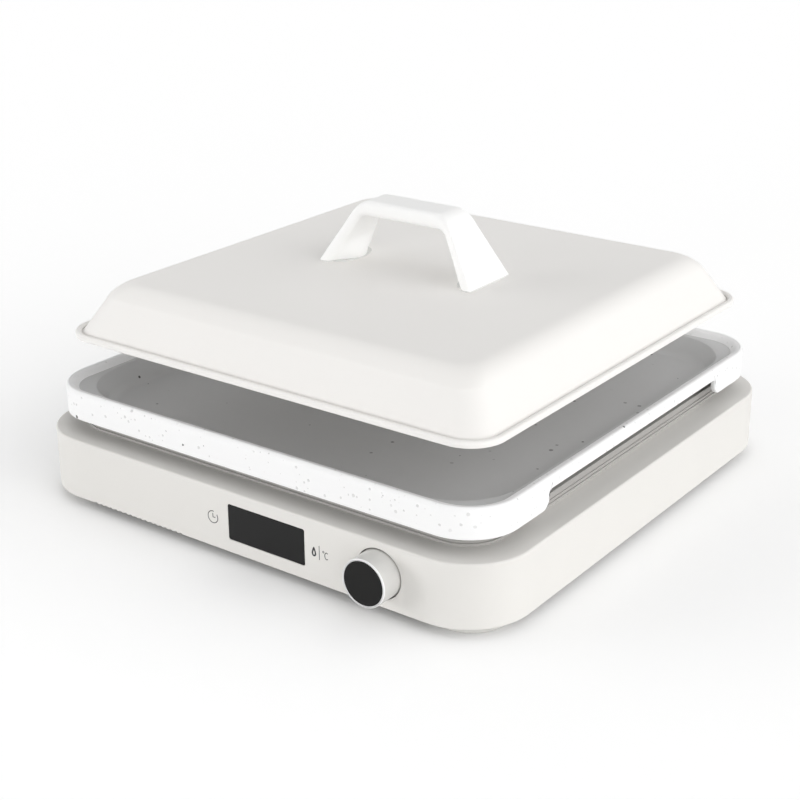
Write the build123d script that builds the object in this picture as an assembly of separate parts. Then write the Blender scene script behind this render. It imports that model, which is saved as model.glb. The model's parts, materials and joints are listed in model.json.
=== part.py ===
from build123d import *
import os
from math import atan2, cos, degrees, radians, sin, tan

# An electric pan: a square base with a heating platform, a lift-out pan and a domed lid with a
# strap handle. Millimetres, +Z up, the front face towards -Y. Everything is drawn about the
# middle of the base, and set_in_frame moves it so that the origin is the middle of the footprint.

# Base housing
BASE_HALF = 170.0            # half the width of the square base
BASE_CORNER = 39.0           # radius of its vertical corners
BASE_HEIGHT = 38.3           # height of the side wall
BASE_WALL = 3.0              # moulded wall
DECK_THICK = 3.0             # top deck
BASE_EDGE = 1.3              # rounding where the wall meets the deck
LOWER_EDGE = 0.8             # rounding along the wall's lower edge

# Feet
FOOT_RADIUS = 23.5
FOOT_HEIGHT = 5.5
FOOT_INSET = 32.0            # from the base's side to a foot's centre
FOOT_EDGE = 1.2
FOOT_GROOVE_RADIUS = 15.0
FOOT_GROOVE_WIDTH = 2.4
FOOT_GROOVE_DEPTH = 1.2
FOOT_STEM_RADIUS = 4.0
FOOT_STEM_FIT = 0.1

# Heating platform
PLINTH_INSET = 18.8          # from the base's side to the frame's lowest, widest step
PLINTH_CORNER = 24.0
PLINTH_STEPS = 3             # steps on the frame's wall
STEP_DEPTH = 0.9             # how far each step draws in
STEP_HEIGHT = 1.5            # height of each lower step
PLINTH_HEIGHT = 6.5          # from the deck to the top of the platform
PLATE_MARGIN = 5.0           # width of the frame's top round the plate
PLATE_THICK = 4.3
PLATE_SEAT = 4.0             # width of the ledge that carries the plate
PLATE_FIT = 0.3
PLATE_EDGE = 0.6
FRAME_SPIGOT = 2.8           # how far the frame reaches down into the deck's opening
SPIGOT_WALL = 1.8
SPIGOT_FIT = 0.2
FRAME_SCREW_OFFSET = 4.3      # from the frame's lowest step in to a screw's centre
FRAME_SCREW_PITCH = 96.0
FRAME_SCREW_RADIUS = 1.4
FRAME_SCREW_HEAD = 2.7
FRAME_SCREW_HEAD_HEIGHT = 1.6
FRAME_SCREW_REACH = 4.5       # how far a screw reaches into the frame

# Heating element, a sheathed tube bent into a loop with a loop inside it
TUBE_RADIUS = 3.3
OUTER_LOOP_INSET = 28.4      # from the hearth's side to the outer loop
LOOP_SPACING = 50.0          # from the outer loop to the inner loop
LOOP_BEND = 24.0             # bend radius of the tube's centre line
TAIL_GAP = 22.0              # half the distance between the two tails
TAB_ABOVE_BOARD = 2.9        # from the power board to the tabs on the tails
TAIL_BEND = 9.0
ELEMENT_GAP = 0.2            # from the tube to the plate
BUSH_RADIUS = 5.0            # ceramic bush on each tail
BUSH_LENGTH = 7.0
BUSH_FIT = 0.1
TAB_WIDTH = 6.3
TAB_LENGTH = 8.0
TAB_THICK = 0.8

# Clips that press the tube to the plate
CLIP_WIDTH = 10.0
CLIP_THICK = 1.0
CLIP_WING = 9.0
CLIP_FIT = 0.2
CLIP_HOLE_RADIUS = 1.5
PLATE_SCREW_RADIUS = 1.2
PLATE_SCREW_HEAD = 2.6
PLATE_SCREW_HEAD_HEIGHT = 1.4
PLATE_SCREW_REACH = 3.0       # how far a screw reaches into the plate

# Reflector tray under the element, and its blanket
TRAY_THICK = 0.8
TRAY_INSET = 4.4             # from the hearth's side to the tray's well
TRAY_CORNER = 22.0
TRAY_ABOVE_COIL = 1.2        # from the transformer to the tray's well
TRAY_FLANGE_INSET = 1.2      # from the frame's side to the edge of the tray's flange
BLANKET_THICK = 4.0
BLANKET_MARGIN = 4.0
TAIL_SLOT = 8.0              # half the side of each hole that a tail drops through

# Temperature probe in the middle of the plate, pressed up by a spring
PROBE_RADIUS = 8.0
PROBE_CAP = 2.2
PROBE_STEM_RADIUS = 3.2
PROBE_TRAVEL = 1.5
PROBE_PLATE_GAP = 0.8
CUP_WALL = 1.6
CUP_FLOOR = 1.6
CUP_FLANGE = 4.0
CUP_STEM_FIT = 0.08
SPRING_WIRE = 0.5            # radius of the probe spring's wire
SPRING_RADIUS = 5.4
SPRING_TURNS = 5
SPRING_END_GAP = 0.3

# Thermal cut-out and thermal fuse under the plate
CUTOUT_RADIUS = 7.5
CUTOUT_HEIGHT = 6.0
CUTOUT_FROM_LOOP = 24.0      # from the inner loop to the cut-out's middle
CUTOUT_EAR = 6.0
FUSE_RADIUS = 2.0
FUSE_LENGTH = 14.0
FUSE_LEAD_RADIUS = 0.5
FUSE_LEAD_LENGTH = 12.0
FUSE_GAP = 0.2

# Pan
PAN_INSET = 8.2              # from the base's side to the skirt's
PAN_CORNER = 31.1
PAN_RIM_ABOVE_DECK = 27.9    # from the base's deck to the pan's rim
SKIRT_HEIGHT = 18.5          # from the skirt's lower edge to the rim
SKIRT_WALL = 3.2
SKIRT_EDGE = 0.8
RIM_WIDTH = 4.4
RIM_OUTER_EDGE = 2.0
RIM_INNER_EDGE = 4.5
LEDGE_DEPTH = 3.7            # from the rim down to the lid's ledge
LEDGE_WIDTH = 2.0            # along the sides; wider at the corners
LEDGE_THICK = 4.1
BOWL_CORNER = 40.0
BOWL_FLARE = 8.5             # how far the bowl draws in from its edge to its floor
BOWL_EDGE = 1.2
BOWL_FILLET = 7.0
PAN_FLOOR = 5.0              # thickness of the pan's floor
PAN_WALL = 3.4
NOTCH_HALF = 99.0            # half the length of a finger notch
NOTCH_HEIGHT = 10.6
NOTCH_TOP_RADIUS = 3.0
NOTCH_FLARE_RADIUS = 7.0
SEAT_GAP = 0.3               # between a seated piece and what it rests on
EDGE_MARGIN = 0.2            # for telling an inner edge from the next one out

# Lid
LID_FIT = 0.4                # between the lid's edge and the pan's lip
LID_CORNER = 21.8
LID_RAISED = 32.7            # how far the lid is held above its seat
LID_WALL = 1.2
BEAD_WIDTH = 3.8
BEAD_HEIGHT = 3.8
BEAD_EDGE = 1.3
BEAD_LOWER_EDGE = 0.5
GROOVE_RISE = 0.6            # underside of the groove's floor above the bead's lower edge
GROOVE_WIDTH = 0.5           # on its floor, between the bead and the dome
DOME_TOP_INSET = 22.1        # from the bead's side to the crease between slope and top
DOME_TOP_CORNER = 12.9
DOME_HEIGHT = 32.0           # from the bead's lower edge to the top
DOME_BEND = 16.0             # radius of the bend between slope and top
DOME_SECTIONS = 5

# Lid handle
GRIP_RISE = 40.9             # from the lid's top to the top of the grip
GRIP_THICK = 10.2
GRIP_WIDTH = 24.0
LEG_FOOT_X = 53.0            # middle of a foot
LEG_FOOT_THICK = 8.0
LEG_FOOT_WIDTH = 43.0
LEG_SLOPE = 58.5             # of a leg above the lid, in degrees
LEG_TOP_THICK = 5.8          # where the leg runs into the shoulder
LEG_TOP_WIDTH = 28.0
SHOULDER_BEND = 12.0         # radius of the shoulder's centre line
SHOULDER_SECTIONS = 5
HANDLE_ROUNDING = 0.38       # corner radius of each section, as a share of its thickness
TOE_DEPTH = 10.0             # how far the screw boss reaches in from a foot
TOE_HALF_WIDTH = 18.0
TOE_HEIGHT = 12.0
TOE_TOP_DEPTH = 2.0
HANDLE_PAD_THICK = 0.8
INSERT_RADIUS = 2.8
INSERT_LENGTH = 8.0
INSERT_BORE = 1.65
HANDLE_SCREW_RADIUS = 1.55
HANDLE_SCREW_HEAD = 4.0
HANDLE_SCREW_HEAD_HEIGHT = 2.2
HANDLE_SCREW_GRIP = 6.0
HANDLE_WASHER_RADIUS = 5.5
HANDLE_WASHER_THICK = 0.8
HANDLE_SCREW_X = 47.5
SCREW_HOLE_FIT = 0.2

# Display in the front wall
DISPLAY_X = 21.8
DISPLAY_WIDTH = 56.0
DISPLAY_HEIGHT = 22.4
DISPLAY_CORNER = 1.2
CONTROLS_DROP = 18.7         # from the deck down to the middle of display and knob
WINDOW_THICK = 1.8
WINDOW_FIT = 0.15
WINDOW_REBATE = 2.0
MODULE_WIDTH = 50.2
MODULE_HEIGHT = 17.6
DIGITS = 4
DIGIT_WIDTH = 8.0
DIGIT_HEIGHT = 12.0
DIGIT_DEPTH = 0.4

# Knob and its encoder
KNOB_X = 100.4
KNOB_RADIUS = 14.0
KNOB_PROUD = 13.7            # from the front wall to the knob's face
KNOB_DRAFT = 0.15
KNOB_WALL = 1.5
KNOB_RIM = 1.1               # width of the rim round the dark face
KNOB_FACE_DEPTH = 0.25       # how far the face lies inside the rim
KNOB_FACE_THICK = 1.6
KNOB_FACE_FIT = 0.05
KNOB_EDGE = 0.4
KNOB_GAP = 0.95              # round the knob, in the wall
KNOB_TUCK = 1.8              # how far the knob reaches into the wall
KNOB_PRESS = 1.2
CUP_DEPTH = 5.0              # of the recess behind the knob
CUP_SIDE = 1.8
CUP_BACK = 1.6
HUB_RADIUS = 5.2
SHAFT_RADIUS = 3.0
SHAFT_FLAT = 1.4             # depth of the flat on the shaft
HUB_FIT = 0.05
SHAFT_IN_HUB = 8.0
BUSHING_RADIUS = 4.4
BUSHING_PROUD = 2.0
BUSHING_FIT = 0.08
BUSHING_HOLE_FIT = 0.3
ENCODER_WIDTH = 13.0
ENCODER_DEPTH = 6.5
ENCODER_PIN_RADIUS = 0.4
ENCODER_PIN_LENGTH = 3.0
ENCODER_PINS = 3
ENCODER_PIN_PITCH = 2.5
ENCODER_PIN_DROP = 4.3         # below the middle of the encoder
PLUNGER_RADIUS = 1.6
PLUNGER_LENGTH = 2.4
PLUNGER_GAP = 0.1
SHAFT_INSIDE = 2.0           # how far the shaft reaches into the encoder's body

# Boards
BOARD_THICK = 1.6
CONTROL_LEFT = -14.0
CONTROL_RIGHT = 126.0
CONTROL_HEIGHT = 26.0
CONTROL_BOSS_RADIUS = 3.0
CONTROL_BOSS_INSET = 5.0
POWER_X = -62.0
POWER_FROM_BACK = 74.0
POWER_WIDTH = 110.0
POWER_DEPTH = 62.0
STANDOFF_HEIGHT = 5.0
STANDOFF_RADIUS = 3.2
STANDOFF_INSET = 6.0
RELAY_SIZE = (15.0, 19.0, 12.5)
RELAY_FROM_LEFT = 22.0       # from the power board's left end to the relay's middle
COIL_SIZE = (26.0, 22.0, 13.0)
COIL_FROM_RIGHT = 49.5
COIL_BACK = 9.3              # behind the board's middle
CAPACITOR_RADIUS = 6.0
CAPACITOR_HEIGHT = 12.5
CAPACITOR_FROM_RIGHT = 26.4
CAPACITOR_FORWARD = 11.0     # in front of the board's middle
CAPACITOR_PITCH = 15.5
TERMINAL_SIZE = (20.0, 9.0, 11.0)
TERMINAL_FROM_LEFT = 19.2
TERMINAL_FROM_BACK = 6.2
SINK_FINS = 6
SINK_FIN_THICK = 1.2
SINK_PITCH = 3.4
SINK_HEIGHT = 12.0
SINK_DEPTH = 18.0
SINK_FROM_LEFT = 49.5
SINK_FORWARD = 15.5

# Power inlet in the back wall
INLET_X = -92.0
INLET_RISE = 19.2
INLET_WIDTH = 27.0
INLET_HEIGHT = 19.6
INLET_DEPTH = 19.0
INLET_WALL = 1.6
INLET_FLANGE = 2.4
INLET_FLANGE_THICK = 1.6
INLET_CHAMFER = 4.5
INLET_FIT = 0.15
BLADE_WIDTH = 2.0
BLADE_HEIGHT = 4.0
BLADE_SPREAD = 7.0
BLADE_STAGGER = 2.0
BLADE_RECESS = 3.0
BLADE_TAIL = 6.0

# Bottom cover
COVER_THICK = 2.5
COVER_FIT = 0.4
COVER_UPSTAND = 6.0
COVER_UPSTAND_WALL = 1.8
SLOT_WIDTH = 2.1
SLOT_PITCH = 4.14
SLOT_COUNT = 18
SLOT_FIRST = 55.0            # from the base's left side to the first slot
SLOT_RISE = 0.9              # how far a slot climbs the wall
SLOT_REACH = 26.0            # how far a slot runs in under the cover
SLOT_MARGIN = 6.0            # bar of cover left between the wall and a slot

# Screw columns and screws
COLUMN_RADIUS = 4.0
COLUMN_SIDE = 13.5           # from the base's side to a column's centre
COLUMN_PITCH = 104.0
COLUMN_PILOT = 1.3
SCREW_RADIUS = 1.2
SCREW_HEAD_RADIUS = 2.8
SCREW_HEAD_HEIGHT = 1.6
SCREW_LENGTH = 9.0
SMALL_SCREW_RADIUS = 0.9
SMALL_SCREW_HEAD = 2.0
SMALL_SCREW_HEAD_HEIGHT = 1.0
SMALL_SCREW_LENGTH = 4.0
SMALL_PILOT = 1.0

# Heights that follow from the sizes above
BASE_Z = FOOT_HEIGHT
DECK_Z = BASE_Z + BASE_HEIGHT
DECK_UNDER = DECK_Z - DECK_THICK
COVER_TOP = BASE_Z + COVER_THICK
PLATE_TOP = DECK_Z + PLINTH_HEIGHT
PLATE_UNDER = PLATE_TOP - PLATE_THICK
TUBE_Z = PLATE_UNDER - ELEMENT_GAP - TUBE_RADIUS
TRAY_TOP = DECK_UNDER
PAN_UNDER = PLATE_TOP + SEAT_GAP
BOWL_FLOOR = PAN_UNDER + PAN_FLOOR
RIM_Z = DECK_Z + PAN_RIM_ABOVE_DECK
SKIRT_Z = RIM_Z - SKIRT_HEIGHT
LEDGE_Z = RIM_Z - LEDGE_DEPTH
WEB_Z = LEDGE_Z - LEDGE_THICK
LID_Z = LEDGE_Z + SEAT_GAP + LID_RAISED
GROOVE_LOW = LID_Z + GROOVE_RISE
GROOVE_TOP = GROOVE_LOW + LID_WALL
LID_TOP = LID_Z + DOME_HEIGHT
HANDLE_Z = LID_TOP + HANDLE_PAD_THICK
CONTROLS_Z = DECK_Z - CONTROLS_DROP
INLET_Z = BASE_Z + INLET_RISE
BOARD_UNDER = COVER_TOP + STANDOFF_HEIGHT
BOARD_TOP = BOARD_UNDER + BOARD_THICK
TAIL_END = BOARD_TOP + TAB_ABOVE_BOARD + TAB_LENGTH
TRAY_FLOOR = BOARD_TOP + COIL_SIZE[2] + TRAY_ABOVE_COIL

# Half widths and depths that follow
PLINTH_HALF = BASE_HALF - PLINTH_INSET
PAN_HALF = BASE_HALF - PAN_INSET
RIM_INNER_HALF = PAN_HALF - RIM_WIDTH
LID_HALF = RIM_INNER_HALF - LEDGE_DEPTH - LID_FIT
LEDGE_HALF = LID_HALF + LID_FIT
LEDGE_CORNER = LID_CORNER + LID_FIT
RIM_INNER_CORNER = LEDGE_CORNER + LEDGE_DEPTH
BOWL_HALF = LEDGE_HALF - LEDGE_WIDTH
DOME_FOOT_HALF = LID_HALF - BEAD_WIDTH - GROOVE_WIDTH
DOME_FOOT_CORNER = LID_CORNER - BEAD_WIDTH - GROOVE_WIDTH
DOME_TOP_HALF = LID_HALF - DOME_TOP_INSET
PLINTH_TOP_HALF = PLINTH_HALF - STEP_DEPTH * (PLINTH_STEPS - 1)
PLINTH_TOP_CORNER = PLINTH_CORNER - STEP_DEPTH * (PLINTH_STEPS - 1)
PLATE_POCKET_HALF = PLINTH_TOP_HALF - PLATE_MARGIN
PLATE_POCKET_CORNER = PLINTH_TOP_CORNER - PLATE_MARGIN
HEARTH_HALF = PLATE_POCKET_HALF - PLATE_SEAT
HEARTH_CORNER = PLATE_POCKET_CORNER - PLATE_SEAT
OUTER_LOOP = HEARTH_HALF - OUTER_LOOP_INSET
INNER_LOOP = OUTER_LOOP - LOOP_SPACING
CUTOUT_X = INNER_LOOP - CUTOUT_FROM_LOOP
TRAY_HALF = HEARTH_HALF - TRAY_INSET
TRAY_FLANGE_HALF = PLINTH_HALF - TRAY_FLANGE_INSET
TRAY_FLANGE_CORNER = TRAY_CORNER + TRAY_FLANGE_HALF - TRAY_HALF
FRONT_Y = -BASE_HALF
FRONT_INNER = FRONT_Y + BASE_WALL
CUP_INNER = FRONT_Y + CUP_DEPTH
CUP_OUTER = CUP_INNER + CUP_BACK
CONTROL_FACE = CUP_OUTER + ENCODER_DEPTH
BACK_Y = BASE_HALF
POWER_Y = BACK_Y - POWER_FROM_BACK
BOARD_LEFT = POWER_X - POWER_WIDTH / 2
BOARD_RIGHT = POWER_X + POWER_WIDTH / 2
BOARD_BACK = POWER_Y + POWER_DEPTH / 2
COLUMN_X = BASE_HALF - COLUMN_SIDE
FOOT_CENTRE = BASE_HALF - FOOT_INSET
SCREW_REACH_UP = SCREW_LENGTH - COVER_THICK


def square(half, radius, z):
    """A square outline with rounded corners about the middle of the base, at height z."""
    return Plane.XY.offset(z) * RectangleRounded(2 * half, 2 * half, radius)


def slab(half, radius, low, high):
    """A rounded square standing from height low to height high."""
    return extrude(square(half, radius, low), high - low)


def taper(low_half, low_radius, low, high_half, high_radius, high):
    """A rounded square that changes size evenly from height low to height high."""
    return loft([square(low_half, low_radius, low), square(high_half, high_radius, high)], ruled=True)


def rod(radius, low, high, x=0.0, y=0.0):
    """An upright round bar at (x, y)."""
    return Pos(x, y, low) * extrude(Circle(radius), high - low)


def front_rod(radius, near, far, x, z):
    """A round bar along Y, from y = near to y = far, through (x, z)."""
    return Plane(origin=(x, near, z), x_dir=(1, 0, 0), z_dir=(0, 1, 0)) * extrude(Circle(radius), far - near)


def brick(x0, x1, y0, y1, z0, z1):
    """A rectangular block between two corners."""
    return Pos((x0 + x1) / 2, (y0 + y1) / 2, (z0 + z1) / 2) * Box(x1 - x0, y1 - y0, z1 - z0)


def edges_at(shape, z):
    """The edges of a shape that lie flat at height z."""
    return shape.edges().filter_by_position(Axis.Z, z, z)


def inner_edges(shape, z, half):
    """The edges at height z that lie within the square of the given half width."""
    kept = []
    for edge in edges_at(shape, z):
        box = edge.bounding_box()
        if max(box.max.X, box.max.Y, -box.min.X, -box.min.Y) < half + EDGE_MARGIN:
            kept.append(edge)
    return kept


def four_ways(shape):
    """A shape in the first quarter and its mirror images in the other three."""
    pair = [shape, mirror(shape, Plane.YZ)]
    return pair + [mirror(one, Plane.XZ) for one in pair]


def column_places():
    """The screw columns' centres: three along each side."""
    return [(side * COLUMN_X, row * COLUMN_PITCH) for side in (-1, 1) for row in (-1, 0, 1)]


def knob_cup_radius():
    """The outer radius of the cup behind the knob."""
    return KNOB_RADIUS + KNOB_GAP + CUP_SIDE


def slot_places():
    """The middle of each vent slot along the front."""
    return [SLOT_FIRST - BASE_HALF + SLOT_PITCH * number for number in range(SLOT_COUNT)]


def front_plate(width, height, corner, near, far, x, z):
    """An upright plate with rounded corners, from y = near to y = far."""
    plane = Plane(origin=(x, far, z), x_dir=(1, 0, 0), z_dir=(0, -1, 0))
    return extrude(plane * RectangleRounded(width, height, corner), far - near)


def base_housing():
    """The moulded housing: side wall, deck with the heater's opening, screw columns, knob recess."""
    shell = slab(BASE_HALF, BASE_CORNER, BASE_Z, DECK_Z)
    shell = fillet(edges_at(shell, DECK_Z), BASE_EDGE)
    shell = fillet(edges_at(shell, BASE_Z), LOWER_EDGE)
    shell -= slab(BASE_HALF - BASE_WALL, BASE_CORNER - BASE_WALL, BASE_Z, DECK_UNDER)
    shell -= slab(HEARTH_HALF + SPIGOT_FIT, HEARTH_CORNER + SPIGOT_FIT, DECK_UNDER, DECK_Z)
    for x, y in frame_screw_places():
        shell -= rod(FRAME_SCREW_RADIUS + SCREW_HOLE_FIT, DECK_UNDER, DECK_Z, x, y)
    for x, y in column_places():
        shell += rod(COLUMN_RADIUS, COVER_TOP, DECK_UNDER, x, y)
        shell -= rod(COLUMN_PILOT, COVER_TOP, COVER_TOP + SCREW_LENGTH, x, y)
    for x, z in control_boss_places():
        shell += front_rod(CONTROL_BOSS_RADIUS, FRONT_INNER, CONTROL_FACE, x, z)
        shell -= front_rod(SMALL_PILOT, CONTROL_FACE - SMALL_SCREW_LENGTH, CONTROL_FACE, x, z)
    shell += front_rod(knob_cup_radius(), FRONT_INNER, CUP_OUTER, KNOB_X, CONTROLS_Z)
    shell -= front_rod(KNOB_RADIUS + KNOB_GAP, FRONT_Y, CUP_INNER, KNOB_X, CONTROLS_Z)
    shell -= front_rod(BUSHING_RADIUS + BUSHING_HOLE_FIT, CUP_INNER, CUP_OUTER, KNOB_X, CONTROLS_Z)
    shell -= front_plate(DISPLAY_WIDTH, DISPLAY_HEIGHT, DISPLAY_CORNER,
                         FRONT_Y, FRONT_Y + WINDOW_THICK, DISPLAY_X, CONTROLS_Z)
    shell -= front_plate(DISPLAY_WIDTH - 2 * WINDOW_REBATE, DISPLAY_HEIGHT - 2 * WINDOW_REBATE,
                         DISPLAY_CORNER, FRONT_Y + WINDOW_THICK, FRONT_INNER, DISPLAY_X, CONTROLS_Z)
    shell -= inlet_block(INLET_FIT, BACK_Y - BASE_WALL, BACK_Y - INLET_FLANGE_THICK)
    shell -= inlet_flange_block(INLET_FIT)
    for x in slot_places():
        shell -= brick(x - SLOT_WIDTH / 2, x + SLOT_WIDTH / 2, FRONT_Y, FRONT_INNER,
                       BASE_Z, BASE_Z + SLOT_RISE)
    return shell


def bottom_cover():
    """The plate that closes the base: upstand, vent slots, standoffs and the feet's holes."""
    half = BASE_HALF - BASE_WALL - COVER_FIT
    corner = BASE_CORNER - BASE_WALL - COVER_FIT
    cover = slab(half, corner, BASE_Z, COVER_TOP)
    upstand = slab(half, corner, COVER_TOP, COVER_TOP + COVER_UPSTAND)
    upstand -= slab(half - COVER_UPSTAND_WALL, corner - COVER_UPSTAND_WALL,
                    COVER_TOP, COVER_TOP + COVER_UPSTAND)
    cover += upstand
    for x, y in standoff_places():
        cover += rod(STANDOFF_RADIUS, COVER_TOP, BOARD_UNDER, x, y)
        cover -= rod(SMALL_PILOT, BOARD_UNDER - SMALL_SCREW_LENGTH, BOARD_UNDER, x, y)
    for x, y in column_places():
        cover -= rod(SCREW_RADIUS + SCREW_HOLE_FIT, BASE_Z, COVER_TOP, x, y)
        cover -= rod(SCREW_HEAD_RADIUS + SCREW_HOLE_FIT, BASE_Z, BASE_Z + SCREW_HEAD_HEIGHT, x, y)
    for hole in four_ways(rod(FOOT_STEM_RADIUS + FOOT_STEM_FIT, BASE_Z, COVER_TOP, FOOT_CENTRE, FOOT_CENTRE)):
        cover -= hole
    cover -= front_rod(knob_cup_radius() + COVER_FIT, FRONT_Y, CUP_OUTER, KNOB_X, CONTROLS_Z)
    near = -half + COVER_UPSTAND_WALL + SLOT_MARGIN
    clear_of_feet = FOOT_CENTRE - FOOT_RADIUS - SLOT_WIDTH
    for x in [place for place in slot_places() if abs(place) < clear_of_feet]:
        slot = brick(x - SLOT_WIDTH / 2, x + SLOT_WIDTH / 2, near, near + SLOT_REACH, BASE_Z, COVER_TOP)
        cover -= slot
        cover -= mirror(mirror(slot, Plane.XZ), Plane.YZ)
    return cover


def feet():
    """Four round rubber feet with a grip groove and a stem through the bottom cover."""
    profile = Circle(FOOT_RADIUS)
    foot = fillet(edges_at(extrude(profile, FOOT_HEIGHT), 0), FOOT_EDGE)
    groove = Circle(FOOT_GROOVE_RADIUS + FOOT_GROOVE_WIDTH) - Circle(FOOT_GROOVE_RADIUS)
    foot -= extrude(groove, FOOT_GROOVE_DEPTH)
    foot += rod(FOOT_STEM_RADIUS, FOOT_HEIGHT, COVER_TOP)
    return Compound(four_ways(Pos(FOOT_CENTRE, FOOT_CENTRE, 0) * foot))


def plinth_frame():
    """The stepped frame that stands on the deck and carries the heating plate."""
    frame = slab(HEARTH_HALF, HEARTH_CORNER, DECK_Z - FRAME_SPIGOT, DECK_Z)
    for number in range(PLINTH_STEPS):
        drawn_in = number * STEP_DEPTH
        low = DECK_Z + number * STEP_HEIGHT
        high = PLATE_TOP if number == PLINTH_STEPS - 1 else low + STEP_HEIGHT
        frame += slab(PLINTH_HALF - drawn_in, PLINTH_CORNER - drawn_in, low, high)
    frame -= slab(HEARTH_HALF - SPIGOT_WALL, HEARTH_CORNER - SPIGOT_WALL, DECK_Z - FRAME_SPIGOT, PLATE_UNDER)
    frame -= slab(PLATE_POCKET_HALF, PLATE_POCKET_CORNER, PLATE_UNDER, PLATE_TOP)
    for x, y in frame_screw_places():
        frame -= rod(FRAME_SCREW_RADIUS, DECK_Z, DECK_Z + FRAME_SCREW_REACH, x, y)
    return frame


def frame_screw_places():
    """The screws round the frame: two along each side."""
    across = PLINTH_HALF - FRAME_SCREW_OFFSET
    along = FRAME_SCREW_PITCH / 2
    return [(a * across, b * along) for a in (-1, 1) for b in (-1, 1)] + [
        (a * along, b * across) for a in (-1, 1) for b in (-1, 1)]


def frame_screws():
    """The screws that clamp the tray's flange, the deck and the frame together."""
    top = TRAY_TOP - TRAY_THICK
    pieces = []
    for x, y in frame_screw_places():
        head = rod(FRAME_SCREW_HEAD, top - FRAME_SCREW_HEAD_HEIGHT, top, x, y)
        pieces.append(head + rod(FRAME_SCREW_RADIUS, top, DECK_Z + FRAME_SCREW_REACH, x, y))
    return Compound(pieces)


def heating_plate():
    """The cast plate that the pan stands on, with a hole for the probe."""
    half = PLATE_POCKET_HALF - PLATE_FIT
    plate = slab(half, PLATE_POCKET_CORNER - PLATE_FIT, PLATE_UNDER, PLATE_TOP)
    plate = fillet(edges_at(plate, PLATE_TOP), PLATE_EDGE)
    for x, y in plate_screw_places():
        plate -= rod(PLATE_SCREW_RADIUS, PLATE_UNDER, PLATE_UNDER + PLATE_SCREW_REACH, x, y)
    return plate - rod(PROBE_RADIUS + PROBE_PLATE_GAP, PLATE_UNDER, PLATE_TOP)


def element_path():
    """The tube's centre line: down a tail, round the outer loop, and back down the other tail."""
    side = OUTER_LOOP
    inner = INNER_LOOP
    return [
        (-TAIL_GAP, side, TAIL_END),
        (-TAIL_GAP, side, TUBE_Z),
        (-side, side, TUBE_Z),
        (-side, -side, TUBE_Z),
        (side, -side, TUBE_Z),
        (side, side - 2 * LOOP_BEND, TUBE_Z),
        (inner, side - 2 * LOOP_BEND, TUBE_Z),
        (inner, -inner, TUBE_Z),
        (-inner, -inner, TUBE_Z),
        (-inner, inner, TUBE_Z),
        (TAIL_GAP, inner, TUBE_Z),
        (TAIL_GAP, inner, TAIL_END),
    ]


def tail_places():
    """Where the element's two tails turn down through the tray."""
    return [(-TAIL_GAP, OUTER_LOOP), (TAIL_GAP, INNER_LOOP)]


def swept_tube(points, radii, radius):
    """A round tube along straight runs joined by arcs."""
    path = FilletPolyline(*points, radius=radii)
    section = Plane(origin=path @ 0, z_dir=path % 0) * Circle(radius)
    return sweep(section, path=path)


def heating_element():
    """The sheathed tube, an outer loop with a loop inside it."""
    points = element_path()
    radii = [TAIL_BEND] + [LOOP_BEND] * (len(points) - 4) + [TAIL_BEND]
    return swept_tube(points, radii, TUBE_RADIUS)


def element_bushes():
    """A ceramic bush and a spade tab on the end of each tail."""
    pieces = []
    for x, y in tail_places():
        bush = rod(BUSH_RADIUS, TAIL_END, TAIL_END + BUSH_LENGTH, x, y)
        bush -= rod(TUBE_RADIUS + BUSH_FIT, TAIL_END, TAIL_END + BUSH_LENGTH, x, y)
        pieces.append(bush)
        tab = brick(x - TAB_WIDTH / 2, x + TAB_WIDTH / 2, y - TAB_THICK / 2, y + TAB_THICK / 2,
                    TAIL_END - TAB_LENGTH, TAIL_END)
        pieces.append(tab)
    return Compound(pieces)


def clip_places():
    """Where a clip crosses the outer loop, and its turn: three along the front, one on each side."""
    side = OUTER_LOOP
    return [(0, -side, 0), (-side, 0, 90), (side, 0, 90), (-side / 2, -side, 0), (side / 2, -side, 0)]


def plate_screw_places():
    """The screws up into the plate: two for each clip and two for the cut-out's ears."""
    reach = TUBE_RADIUS + CLIP_FIT + CLIP_THICK + CLIP_WING / 2
    places = []
    for x, y, turn in clip_places():
        for hand in (-reach, reach):
            places.append((x + hand, y) if turn else (x, y + hand))
    ear = CUTOUT_RADIUS + CUTOUT_EAR / 2
    return places + [(CUTOUT_X, -ear), (CUTOUT_X, ear)]


def plate_screws():
    """The screws that hold the clips and the cut-out to the plate."""
    low = PLATE_UNDER - CLIP_THICK
    pieces = []
    for x, y in plate_screw_places():
        head = rod(PLATE_SCREW_HEAD, low - PLATE_SCREW_HEAD_HEIGHT, low, x, y)
        pieces.append(head + rod(PLATE_SCREW_RADIUS, low, PLATE_UNDER + PLATE_SCREW_REACH, x, y))
    return Compound(pieces)


def element_clips():
    """Bent straps that press the tube against the plate, each held by two screws."""
    inner = TUBE_RADIUS + CLIP_FIT
    outer = inner + CLIP_THICK
    below = PLATE_UNDER - TUBE_Z
    pieces = []
    for x, y, turn in clip_places():
        arch = Plane.YZ * (Circle(outer) + Pos(0, below / 2) * Rectangle(2 * outer, below))
        arch -= Plane.YZ * (Circle(inner) + Pos(0, below / 2) * Rectangle(2 * inner, below))
        arch -= Plane.YZ * Pos(0, below + outer) * Rectangle(4 * outer, 2 * outer)
        strap = extrude(arch, CLIP_WIDTH / 2, both=True)
        for hand in (-1, 1):
            reach = hand * (outer + CLIP_WING)
            near = hand * (outer - CLIP_THICK)
            low, high = sorted((near, reach))
            strap += brick(-CLIP_WIDTH / 2, CLIP_WIDTH / 2, low, high, below - CLIP_THICK, below)
            middle = hand * (outer + CLIP_WING / 2)
            strap -= rod(CLIP_HOLE_RADIUS, below - CLIP_THICK, below, 0, middle)
        pieces.append(Pos(x, y, TUBE_Z) * Rot(0, 0, turn) * strap)
    return Compound(pieces)


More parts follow.
